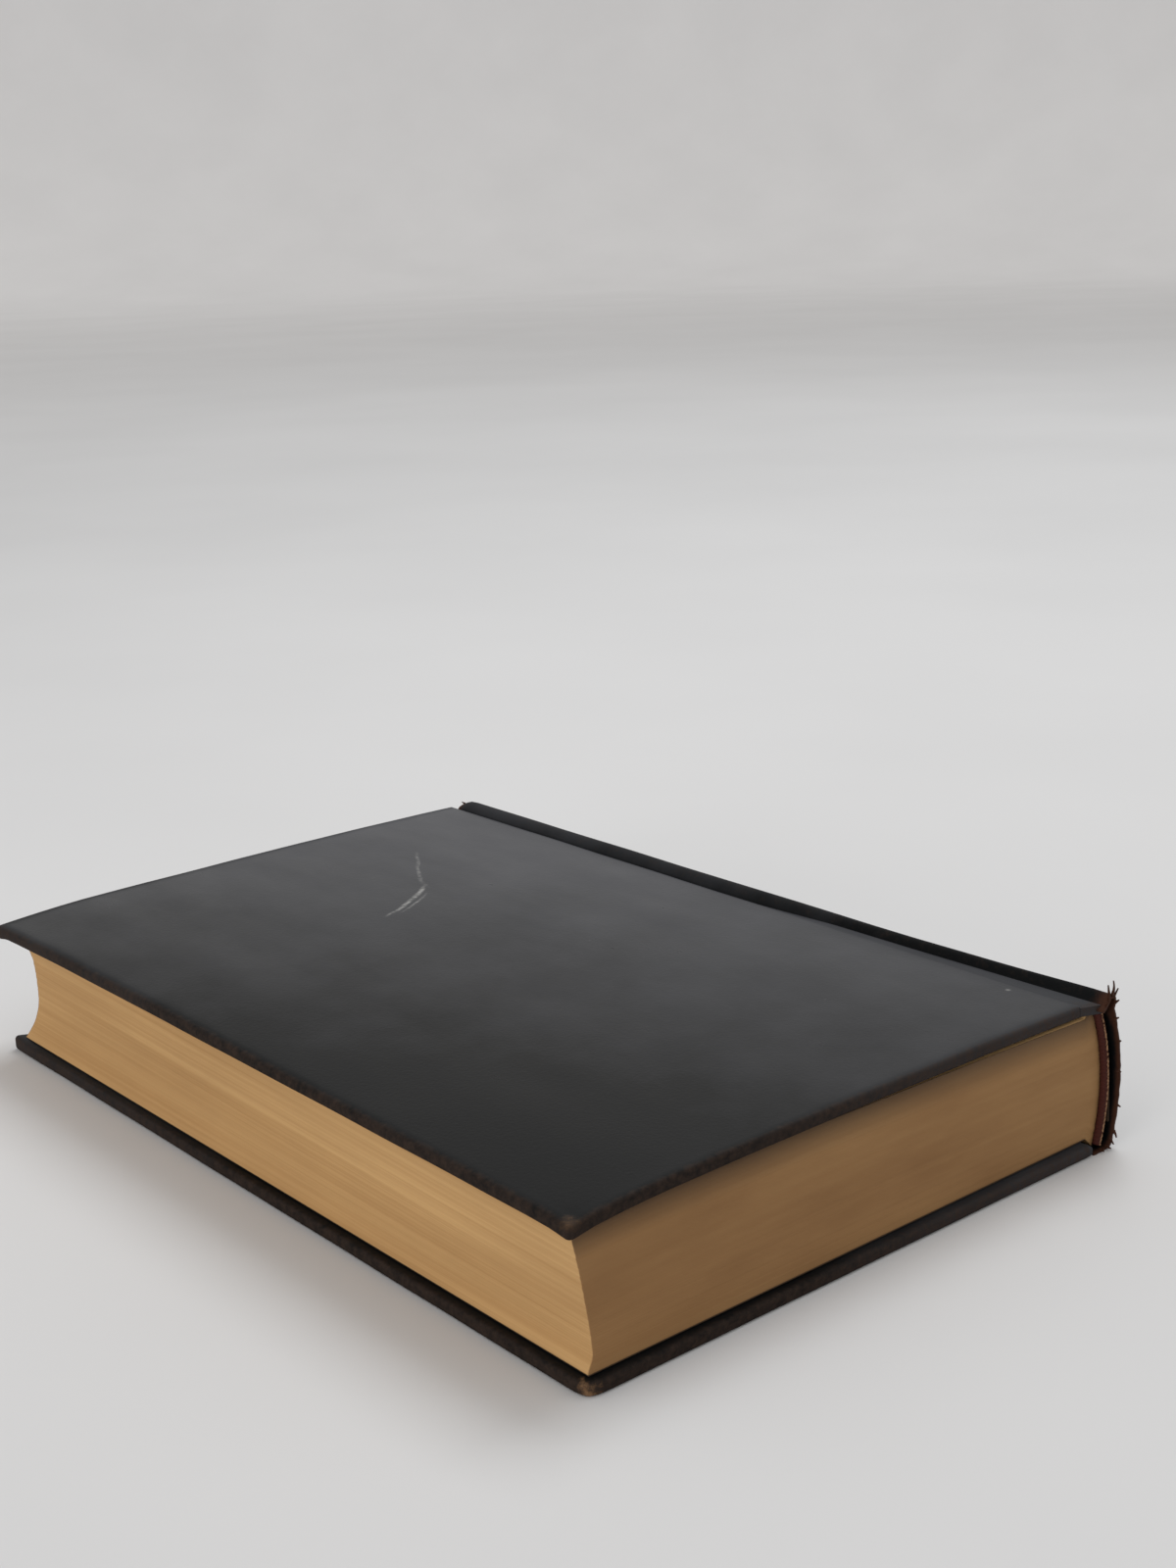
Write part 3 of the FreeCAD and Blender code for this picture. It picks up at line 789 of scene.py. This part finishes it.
def build_spine():
    """Cloth of the spine: ridge, round back, turned and frayed at head and tail."""
    size = sizes()
    bm = bmesh.new()
    rim = bm.verts.layers.float.new("rim")
    fray = bm.verts.layers.float.new("fray")
    along = draw_out(bm, spine_outline(), SPINE_STEPS)
    centre = Vector((TIP_X + 6 * MM, (SPINE[0].z + SPINE[1].z) / 2))
    for vert in bm.verts:
        x, z = vert.co.x, vert.co.z
        # Rows lie closer together towards the two ends, where share is -1 and 1
        share = 2 * vert[along] - 1
        share = math.copysign(1 - (1 - abs(share)) ** 1.5, share)
        tail, head = spine_ends(z)
        y = tail + (head - tail) * (share + 1) / 2
        outward = (Vector((x, z)) - centre).normalized()
        push = 0.12 * MM * ripple(9, y / MM / 26, z / MM / 9) * (z > MM / 10)
        ridge = ramp(z, 28 * MM, 34 * MM)
        raised = ramp(y, 60 * MM, 110 * MM) ** 1.5
        rise = HEAD_RISE * ridge * raised
        squared = HEAD_SQUARING * raised * max(0.0, (z - 33 * MM) / (3 * MM))
        rounded = ramp(y, tail + TAIL_WEAR_LENGTH, tail) ** 2
        crept = max(0.0, (x - CREST_X) / (SPINE[1].x - CREST_X)) * filled((share + 1) / 2) * ridge
        x -= GROOVE_SHIFT * crept + squared
        vert.co = (x + outward.x * push + 0.5 * MM * rounded * ridge, y,
                   z + outward.y * push + rise - TAIL_WEAR * rounded * ridge)
        if abs(share) == 1:
            torn = (0.2 + 0.35 * abs(z / SPINE[1].z - 0.5)) * MM
            ragged = torn * ripple(10, x / MM * 0.9, z / MM * 0.9) - 0.1 * MM
            vert.co.y += math.copysign(ragged, share)
        vert[rim] = 0.5 if z > COVERS["front"][1].z else 0.25
        reach = 1.3 * MM + 3 * MM * ridge
        vert[fray] = math.exp(-(head - y if share > 0 else 2 * (y - tail)) / reach)
    bmesh.ops.recalc_face_normals(bm, faces=bm.faces[:])
    bmesh.ops.solidify(bm, geom=bm.faces[:], thickness=size.cloth)
    cloth = grained_cloth("spine cloth", [], sheen_slope=SPINE_SHEEN_SLOPE, gloss=SPINE_GLOSS)
    add_piece("spine_cover", bm, cloth, "book_block", ["spine_cloth"], sharp=60)
    return cloth


# Joints: corners of each strip across the book, in millimetres. The first two count from the
# spine's edge, the last two from the cover's, and all of them from the cover's outer face.
JOINTS = {"front": ((-0.3, -1.3), (0.2, -1.75), (-0.05, -1.4), (0.25, -0.75)),
          "back": ((-0.4, 0.3), (0.15, 0.55), (-0.15, 0.55), (0.35, 0.5))}
JOINT_CLOTH = 0.3 * MM
JOINT_STEPS = 30
# The front joint's cloth stands out this much at the head
JOINT_OVERHANG = 1.6 * MM


def build_joints():
    """Outer hinges: strips of the cover's cloth that bend between the spine and each cover."""
    cloth = grained_cloth("joint cloth", [])
    front = COVERS["front"][1].z
    back_x, cover_x = SPINE[1].x, COVERS["front"][0].x
    for side, places in JOINTS.items():
        outer = front if side == "front" else 0.0
        corners = [(edge + x * MM, outer + z * MM)
                   for edge, (x, z) in zip((back_x, back_x, cover_x, cover_x), places)]
        bm = bmesh.new()
        rim = bm.verts.layers.float.new("rim")
        bm.verts.layers.float.new("fray")
        outline = []
        for start, end in zip(corners, corners[1:]):
            outline += arc_through(start, end, -0.06 * MM, 5)
        along = draw_out(bm, outline + [Vector(corners[-1])], JOINT_STEPS)
        low, high = COVERS[side]
        over = JOINT_OVERHANG if side == "front" else 0.0
        level = bm.verts.layers.float.new("level")
        for vert in bm.verts:
            vert.co.y = low.y + MM + (high.y - low.y - 2 * MM + over) * vert[along]
            vert[rim] = 0.9 if vert[along] == 1 else 0.3
            if side == "front":
                swept = filled(vert[along]) * (cover_x - vert.co.x) / (cover_x - back_x)
                vert.co.x -= GROOVE_SHIFT * swept
                vert.co.y += 1.2 * MM * swept
                lifted = 0.95 * min(1.0, 3 * filled(vert[along]))
                vert.co.z += lifted * max(0.0, front - 0.2 * MM - vert.co.z)
            vert[level] = vert.co.z
        bmesh.ops.recalc_face_normals(bm, faces=bm.faces[:])
        bmesh.ops.solidify(bm, geom=bm.faces[:], thickness=JOINT_CLOTH)
        # Where the front joint is filled, its underside reaches down to fill it
        for vert in bm.verts:
            under = vert.co.z < vert[level] - 0.1 * MM and side == "front"
            vert.co.z -= 1.7 * MM * filled(vert[along]) * under
        strip = add_piece(side + "_joint_cloth", bm, cloth, None)
        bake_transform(strip)


# Loose threads in millimetres: start across the book and up, end of the spine that they hang
# from (1 is the head), and where the tip is from the start
THREADS = (
    (-72.8, 35.9, 1, 0.9, 0.2, 3.1), (-73.3, 36.0, 1, 0.4, 0.5, 3.5),
    (-73.9, 35.6, 1, -0.1, 1.1, 2.4), (-72.3, 35.4, 1, 0.6, 0.6, 1.5),
    (-71.2, 34.4, 1, 0.6, 1.0, 1.0), (-74.6, 34.2, 1, -0.1, 0.9, 0.7),
    (-74.6, 31.0, 1, -0.3, 1.0, 0.5), (-76.2, 25.0, 1, -0.1, 0.5, 0.2),
    (-76.9, 18.0, 1, -0.2, 0.7, -0.3), (-76.7, 10.0, 1, -0.3, 0.8, -0.4),
    (-75.6, 3.2, 1, 0.2, 1.0, -1.4), (-74.9, 1.8, 1, 0.5, 1.3, -0.9),
    (-73.4, 0.6, 1, 0.3, 1.5, 0.1), (-71.2, 0.5, 1, 0.4, 1.4, 0.2),
    (-71.3, 34.6, -1, 0.5, -0.8, 0.5), (-75.8, 22.0, -1, -0.2, -0.8, 0.3),
    (-76.2, 9.0, -1, -0.3, -0.9, -0.3), (-73.2, 0.6, -1, 0.3, -1.1, 0.1),
)
THREAD_RADIUS = 0.42 * MM
THREAD_TAPER = 0.85
THREAD_STEPS = 6
# A thread starts this far inside the cloth
THREAD_ROOT = 0.3 * MM


def cloth_end(x, z, end):
    """The point nearest to a place across the book on the edge of the spine's cloth at one end."""
    edge_y = spine_ends(z)[1 if end > 0 else 0]
    edge = [vert.co for vert in bpy.data.objects["spine_cover"].data.vertices
            if abs(vert.co.y - edge_y) < 0.8 * MM]
    return min(edge, key=lambda place: math.hypot(place.x - x, place.z - z))


def build_frays():
    """Loose threads at the two ends of the spine, each a thin tapered hair rooted in its cloth."""
    bm = bmesh.new()
    bm.verts.layers.float.new("rim")
    fray = bm.verts.layers.float.new("fray")
    for order, (x, z, end, *tip) in enumerate(THREADS):
        start = cloth_end(x * MM, z * MM, end) - Vector((0, end * THREAD_ROOT, 0))
        tip = Vector(tip) * MM
        bend = Vector((0.3, 0.5, 0.2)) * tip.length * 0.5 * ripple(14, order * 3.1)
        ring = bmesh.ops.create_circle(bm, segments=6, radius=THREAD_RADIUS,
                                       cap_ends=True)["verts"]
        bmesh.ops.rotate(bm, verts=ring, matrix=tip.to_track_quat("Z", "Y").to_matrix())
        bmesh.ops.translate(bm, verts=ring, vec=start)
        face = ring[0].link_faces[0]
        for step in range(1, THREAD_STEPS + 1):
            made = bmesh.ops.extrude_face_region(bm, geom=[face])["geom"]
            if step > 1:
                bmesh.ops.delete(bm, geom=[face], context="FACES_ONLY")
            face = next(item for item in made if isinstance(item, bmesh.types.BMFace))
            share = step / THREAD_STEPS
            place = start + tip * share + bend * math.sin(math.pi * share)
            bmesh.ops.translate(bm, verts=face.verts[:], vec=place - face.calc_center_median())
            bmesh.ops.scale(bm, verts=face.verts[:], vec=(THREAD_TAPER,) * 3,
                            space=Matrix.Translation(-face.calc_center_median()))
    for vert in bm.verts:
        vert[fray] = 1.0
    cloth = grained_cloth("frayed cloth", [], sheen_slope=SPINE_SHEEN_SLOPE, gloss=SPINE_GLOSS)
    add_piece("spine_frays", bm, cloth, "book_block")


# Endbands

# Share of the round back that the thread covers, and how far it stands above the pages
BAND_SPAN = 0.97
BAND_RISE = 1.5 * MM
# The glued strip: its depths inside the band's outer line, its two ends below the band's top
STRIP_DEPTHS = (1.3 * MM, 0.6 * MM)
STRIP_TOP, STRIP_FOOT = 1.2 * MM, 7 * MM
WINDING_STEPS = 6


def build_endband(name, end):
    """Thread wound over a cord along the back of the pages, with a thin pale cord behind it.

    A flat strip of the same cloth is glued down below it, on the back of the pages.
    """
    size = sizes()
    low = BANDS[name][0]
    middle = (PAGES[0].z + PAGES[1].z) / 2
    sag = TIP_X - PAGES[0].x
    reach = (PAGES[1].z - PAGES[0].z) / 2
    radius = (reach * reach + sag * sag) / (2 * sag)
    centre = Vector((PAGES[0].x + radius, 0, middle))
    outer = centre.x - low.x
    half_turn = math.asin(reach / radius) * BAND_SPAN
    lip = HALF_PAGE + BAND_RISE
    # Middle of each cord's section, away from the centre and up, and its radius
    homes = {1: (outer - size.edge_cord * 1.6 - size.bead, lip - size.bead, size.bead),
             2: (outer - size.edge_cord, lip - size.edge_cord - 0.25 * MM, size.edge_cord)}
    deep, shallow = (outer - depth for depth in STRIP_DEPTHS)
    strip = [(deep, lip - STRIP_FOOT), (deep, lip - STRIP_TOP),
             (shallow, lip - STRIP_TOP), (shallow, lip - STRIP_FOOT)]
    bm = bmesh.new()
    cord = bm.verts.layers.float.new("cord")
    bead = bm.verts.layers.float.new("bead")
    for number, (away, up, round_by) in homes.items():
        for vert in bmesh.ops.create_circle(bm, segments=12, radius=round_by)["verts"]:
            vert.co = (away + vert.co.x, up + vert.co.y, 0)
            vert[cord] = number
            vert[bead] = number - 1
    band = [bm.verts.new((away, up, 0)) for away, up in strip]
    for start, finish in zip(band, band[1:] + band[:1]):
        bm.edges.new((start, finish))
    for vert in bm.verts:
        away, up = vert.co.x, vert.co.y
        vert.co = centre + Vector((-away * math.cos(half_turn), up, -away * math.sin(half_turn)))
    steps = int(2 * half_turn * radius / size.thread) * WINDING_STEPS
    bmesh.ops.spin(bm, geom=bm.verts[:] + bm.edges[:], cent=centre, axis=(0, 1, 0), dvec=(0, 0, 0),
                   angle=2 * half_turn, steps=steps, use_merge=False, use_normal_flip=False,
                   use_duplicate=False)
    bmesh.ops.holes_fill(bm, edges=[edge for edge in bm.edges if edge.is_boundary], sides=0)
    for vert in bm.verts:
        offset = vert.co - centre
        angle = math.atan2(offset.z, -offset.x)
        away = math.hypot(offset.x, offset.z)
        up = offset.y
        wave = abs(math.sin(math.pi * angle * outer / size.thread))
        # Each winding of the thread swells round its cord
        if vert[cord] > 0.5:
            home_away, home_up, _ = homes[round(vert[cord])]
            swell = 0.82 + 0.2 * wave
            away = home_away + (away - home_away) * swell
            up = home_up + (up - home_up) * swell
        z = middle + away * math.sin(angle)
        x = centre.x - away * math.cos(angle)
        leaf = (z - PAGES[0].z) / (PAGES[1].z - PAGES[0].z)
        y = lean_at(z) + end * up + twist(x, leaf, (end + 1) / 2)
        vert.co = (x, y, z)
    add_piece(name + "_thread", bm, wound_thread(), "book_block", [name], sharp=70)


# Endpapers

def paper_sheet(low, high):
    """A thin sheet of paper, fine enough to bend: returns it with its upper and lower vertices."""
    bm = bmesh.new()
    edge_browning_and_shade = bm.verts.layers.float.new("edge_browning_and_shade")
    bmesh.ops.create_grid(bm, x_segments=72, y_segments=112, size=0.5)
    bmesh.ops.scale(bm, vec=(high.x - low.x, high.y - low.y, 1), verts=bm.verts)
    middle = ((low.x + high.x) / 2, (low.y + high.y) / 2, low.z)
    bmesh.ops.translate(bm, vec=middle, verts=bm.verts)
    made = bmesh.ops.extrude_face_region(bm, geom=bm.faces[:])["geom"]
    upper = [item for item in made if isinstance(item, bmesh.types.BMVert)]
    bmesh.ops.translate(bm, vec=(0, 0, high.z - low.z), verts=upper)
    raised = set(upper)
    # The cut edges of each sheet are marked for the material, which browns them and darkens them
    # further as painted shade
    for vert in bm.verts:
        inside = min(high.x - vert.co.x, high.y - vert.co.y, vert.co.y - low.y)
        vert[edge_browning_and_shade] = 1.0 if inside < MM / 10 else 0.0
    return bm, upper, [vert for vert in bm.verts if vert not in raised]


def build_endpapers(side):
    """Pasted endpaper, over the turned-in cloth whose edge shows, and the free endpaper."""
    paper = bpy.data.materials.get("aged endpaper") or aged_paper("aged endpaper")
    cover_low, cover_high = COVERS[side]
    bm, upper, lower = paper_sheet(*PASTED[side])
    towards = -1 if side == "front" else 1
    for vert in lower if side == "front" else upper:
        x, y = vert.co.x, vert.co.y
        turned = min(cover_high.x - x, cover_high.y - y, y - cover_low.y)
        sunk = ramp(turned, 14 * MM, 16.2 * MM)
        wrinkle = 0.02 * MM * ripple(16, x / MM / 9, y / MM / 14)
        vert.co.z -= towards * (0.11 * MM * sunk + 0.02 * MM + abs(wrinkle))
    if side == "front":
        for vert in bm.verts:
            vert.co.z += cover_warp(vert.co.x, vert.co.y)
    add_piece(side + "_pasted_endpaper", bm, paper, side + "_cover",
              [side + "_pastedown"])
    bm, upper, lower = paper_sheet(*LEAVES[side])
    if side == "front":
        for vert in bm.verts:
            vert.co.z += press(vert.co.x, vert.co.y)
    add_piece(side + "_free_leaf", bm, paper, "book_block", [side + "_free_endpaper"])


FOLD_STEPS = 16
FOLD_DEPTH = 0.45 * MM


def build_inner_hinge(side):
    """Fold of the endpaper in the joint, a strip that rides on no body."""
    leaf_low, leaf_high = LEAVES[side]
    low, high = PASTED[side]
    first, last = (leaf_high.z, low.z) if side == "front" else (leaf_low.z, high.z)
    bm = bmesh.new()
    outline = []
    for step in range(FOLD_STEPS + 1):
        share = step / FOLD_STEPS
        fold = FOLD_DEPTH * math.sin(math.pi * share)
        outline.append(Vector((low.x + 0.3 * MM * share - fold, first + (last - first) * share)))
    along = draw_out(bm, outline, 12)
    middle = (leaf_low.y + leaf_high.y) / 2
    for vert in bm.verts:
        vert.co.y = middle + (2 * vert[along] - 1) * (HALF_PAGE - 0.4 * MM)
    bmesh.ops.recalc_face_normals(bm, faces=bm.faces[:])
    strip = add_piece(side + "_endpaper_hinge", bm, bpy.data.materials["aged endpaper"], None)
    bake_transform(strip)


# Stage

# Camera fitted to edge points of the photograph; its angles are in radians
CAMERA_PLACE = Vector((286.97, 374.96, 203.83)) * MM
CAMERA_YAW, CAMERA_PITCH, CAMERA_ROLL = -2.4492, 0.2649, -0.0323
FOCAL_PIXELS = 2159.06
PHOTO_HEIGHT = 1600
SENSOR = 36.0


def build_camera():
    """Camera where the photograph's edges put it."""
    forward = Vector((math.sin(CAMERA_YAW) * math.cos(CAMERA_PITCH),
                      math.cos(CAMERA_YAW) * math.cos(CAMERA_PITCH), -math.sin(CAMERA_PITCH)))
    level = forward.cross(Vector((0, 0, 1))).normalized()
    upright = level.cross(forward)
    right = math.cos(CAMERA_ROLL) * level + math.sin(CAMERA_ROLL) * upright
    up = math.cos(CAMERA_ROLL) * upright - math.sin(CAMERA_ROLL) * level
    lens = bpy.data.cameras.new("camera")
    lens.sensor_width = SENSOR
    lens.lens = FOCAL_PIXELS / PHOTO_HEIGHT * SENSOR
    camera = bpy.data.objects.new("camera", lens)
    turn = Matrix((right, up, -forward)).transposed()
    camera.matrix_world = Matrix.Translation(CAMERA_PLACE) @ turn.to_4x4()
    bpy.context.scene.collection.objects.link(camera)
    bpy.context.scene.camera = camera


# Soft lamps that all aim at the book: place, width, power and colour
LAMPS = {"high lamp behind the spine": ((-1.1, -0.4, 1.9), 1.1, 24, (0.97, 0.99, 1.0)),
         "low lamp before the fore-edge": ((1.5, 0.35, 0.35), 0.6, 6, (1, 1, 1))}
SURROUNDINGS = (1.0, 0.98, 0.955, 1)
SURROUNDINGS_STRENGTH = 0.66


def add_lamp(name, place, width, power, colour):
    """A square lamp that aims at the foot of the book."""
    light = bpy.data.lights.new(name, "AREA")
    light.shape = "SQUARE"
    light.size = width
    light.energy = power
    light.color = colour
    lamp = bpy.data.objects.new(name, light)
    aim = (-Vector(place)).to_track_quat("-Z", "Y")
    lamp.matrix_world = Matrix.Translation(place) @ aim.to_matrix().to_4x4()
    bpy.context.scene.collection.objects.link(lamp)


def build_stage():
    """Wide pale table that curves up all round, soft lamps and plain pale surroundings."""
    bm = bmesh.new()
    # Level for 5 m from the middle, then up to 1 m
    line = [Vector((0, 0))] + arc_through((5.0, 0.0), (6.2, 1.0), -0.3, 12)
    points = [bm.verts.new((x, 0, z)) for x, z in line]
    for start, end in zip(points, points[1:]):
        bm.edges.new((start, end))
    bmesh.ops.spin(bm, geom=bm.verts[:] + bm.edges[:], cent=(0, 0, 0), axis=(0, 0, 1),
                   dvec=(0, 0, 0), angle=math.tau, steps=72, use_merge=True,
                   use_normal_flip=False, use_duplicate=False)
    bmesh.ops.remove_doubles(bm, verts=bm.verts, dist=MM / 10)
    bmesh.ops.recalc_face_normals(bm, faces=bm.faces[:])
    if sum(face.normal.z for face in bm.faces) < 0:
        bmesh.ops.reverse_faces(bm, faces=bm.faces[:])
    mesh = bpy.data.meshes.new("sweep")
    bm.to_mesh(mesh)
    bm.free()
    mesh.shade_smooth()
    material, tree, place = new_surface("pale sweep")
    soft = add_node(tree, "TexNoise", {"Vector": place, "Scale": 0.004, "Detail": 3.0})
    # Painted light: the floor's colour is lightest by the book and darker out to 1 m, like a pool
    # of lamp light, then grows lighter again far off, standing in for light that the lamps don't
    # give there
    away = add_node(tree, "VectorMath", {0: place}, out="Value", operation="LENGTH")
    near = add_node(tree, "MapRange", {"Value": away, "From Min": 150.0, "From Max": 1000.0,
                                       "To Min": 1.0, "To Max": 0.85})
    farther = add_node(tree, "MapRange", {"Value": away, "From Min": 1300.0, "From Max": 5500.0,
                                          "To Max": 0.52})
    farther = add_node(tree, "Math", {0: near, 1: farther}, operation="ADD")
    tone = add_node(tree, "MapRange", {"Value": soft, "From Min": 0.3, "From Max": 0.7,
                                       "To Min": 0.96, "To Max": 1.0})
    colour = add_node(tree, "Mix", {FACTOR: 1.0, UNDER: linear("floor"), OVER: tone},
                      **COLOUR_MIX, blend_type="MULTIPLY")
    colour = add_node(tree, "Mix", {FACTOR: 1.0, UNDER: colour, OVER: farther},
                      **COLOUR_MIX, blend_type="MULTIPLY")
    close_surface(tree, colour, 0.9, Specular_IOR_Level=0.1)
    # Seen from below it is clear, so that an opened back cover can be looked at
    below = add_node(tree, "NewGeometry", out="Backfacing")
    clear = add_node(tree, "BsdfTransparent")
    shown = tree.nodes["Principled BSDF"].outputs[0]
    shown = add_node(tree, "MixShader", {0: below, 1: shown, 2: clear})
    tree.links.new(shown, tree.nodes["Material Output"].inputs["Surface"])
    mesh.materials.append(material)
    floor = bpy.data.objects.new("sweep", mesh)
    bpy.context.scene.collection.objects.link(floor)

    world = bpy.data.worlds.new("surroundings")
    world.use_nodes = True
    background = world.node_tree.nodes["Background"]
    background.inputs["Color"].default_value = SURROUNDINGS
    background.inputs["Strength"].default_value = SURROUNDINGS_STRENGTH
    bpy.context.scene.world = world
    for name, lamp in LAMPS.items():
        add_lamp(name, *lamp)
    bpy.context.scene.view_settings.view_transform = "Standard"
    build_camera()


# Operators and panel

class BookPiece:
    """What the operators of this file share."""
    bl_options = {"REGISTER", "UNDO"}


class BOOK_OT_pages(BookPiece, bpy.types.Operator):
    """Build the block of pages"""
    bl_idname = "book.pages"
    bl_label = "Pages"

    def execute(self, context):
        build_pages()
        return {"FINISHED"}


class BOOK_OT_covers(BookPiece, bpy.types.Operator):
    """Build the two covered boards"""
    bl_idname = "book.covers"
    bl_label = "Covers"

    def execute(self, context):
        for side in COVERS:
            build_cover(side)
        return {"FINISHED"}


class BOOK_OT_spine(BookPiece, bpy.types.Operator):
    """Build the spine's cloth, its frayed threads and the two outer joints"""
    bl_idname = "book.spine"
    bl_label = "Spine"

    def execute(self, context):
        build_spine()
        build_joints()
        build_frays()
        return {"FINISHED"}


class BOOK_OT_endbands(BookPiece, bpy.types.Operator):
    """Build the endbands at head and tail"""
    bl_idname = "book.endbands"
    bl_label = "Endbands"

    def execute(self, context):
        build_endband("head_band", 1)
        build_endband("tail_band", -1)
        return {"FINISHED"}


class BOOK_OT_endpapers(BookPiece, bpy.types.Operator):
    """Build the endpapers and finish the card and gauze inside the spine"""
    bl_idname = "book.endpapers"
    bl_label = "Endpapers and linings"

    def execute(self, context):
        for side in COVERS:
            build_endpapers(side)
            build_inner_hinge(side)
        stock = {"spine_inlay": plain_stock("spine card", "card", "cloth_rubbed", 1.5),
                 "spine_lining": plain_stock("glued gauze", "card", "cloth_rubbed", 0.6)}
        for node, material in stock.items():
            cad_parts[node].data.materials.clear()
            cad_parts[node].data.materials.append(material)
        return {"FINISHED"}


class BOOK_OT_stage(BookPiece, bpy.types.Operator):
    """Set up the floor, lamps and camera"""
    bl_idname = "book.stage"
    bl_label = "Stage"

    def execute(self, context):
        build_stage()
        return {"FINISHED"}


OPERATORS = (BOOK_OT_stage, BOOK_OT_pages, BOOK_OT_covers, BOOK_OT_spine, BOOK_OT_endbands,
             BOOK_OT_endpapers)


class BOOK_PT_panel(bpy.types.Panel):
    """Lists the book's sizes, colours and pieces"""
    bl_idname = "BOOK_PT_panel"
    bl_label = "Old hardback book"
    bl_space_type = "VIEW_3D"
    bl_region_type = "UI"
    bl_category = "Book"

    def draw(self, context):
        for operator in OPERATORS:
            self.layout.operator(operator.bl_idname)
        for group in (context.scene.book_sizes, context.scene.book_colours):
            box = self.layout.box()
            for name in group.__annotations__:
                box.prop(group, name)


CLASSES = (BookSizes, BookColours, *OPERATORS, BOOK_PT_panel)


def register():
    for item in CLASSES:
        bpy.utils.register_class(item)
    bpy.types.Scene.book_sizes = PointerProperty(type=BookSizes)
    bpy.types.Scene.book_colours = PointerProperty(type=BookColours)


def unregister():
    del bpy.types.Scene.book_colours
    del bpy.types.Scene.book_sizes
    for item in reversed(CLASSES):
        bpy.utils.unregister_class(item)


def main():
    register()
    for operator in OPERATORS:
        group, name = operator.bl_idname.split(".")
        getattr(getattr(bpy.ops, group), name)()


if __name__ == "__main__":
    main()
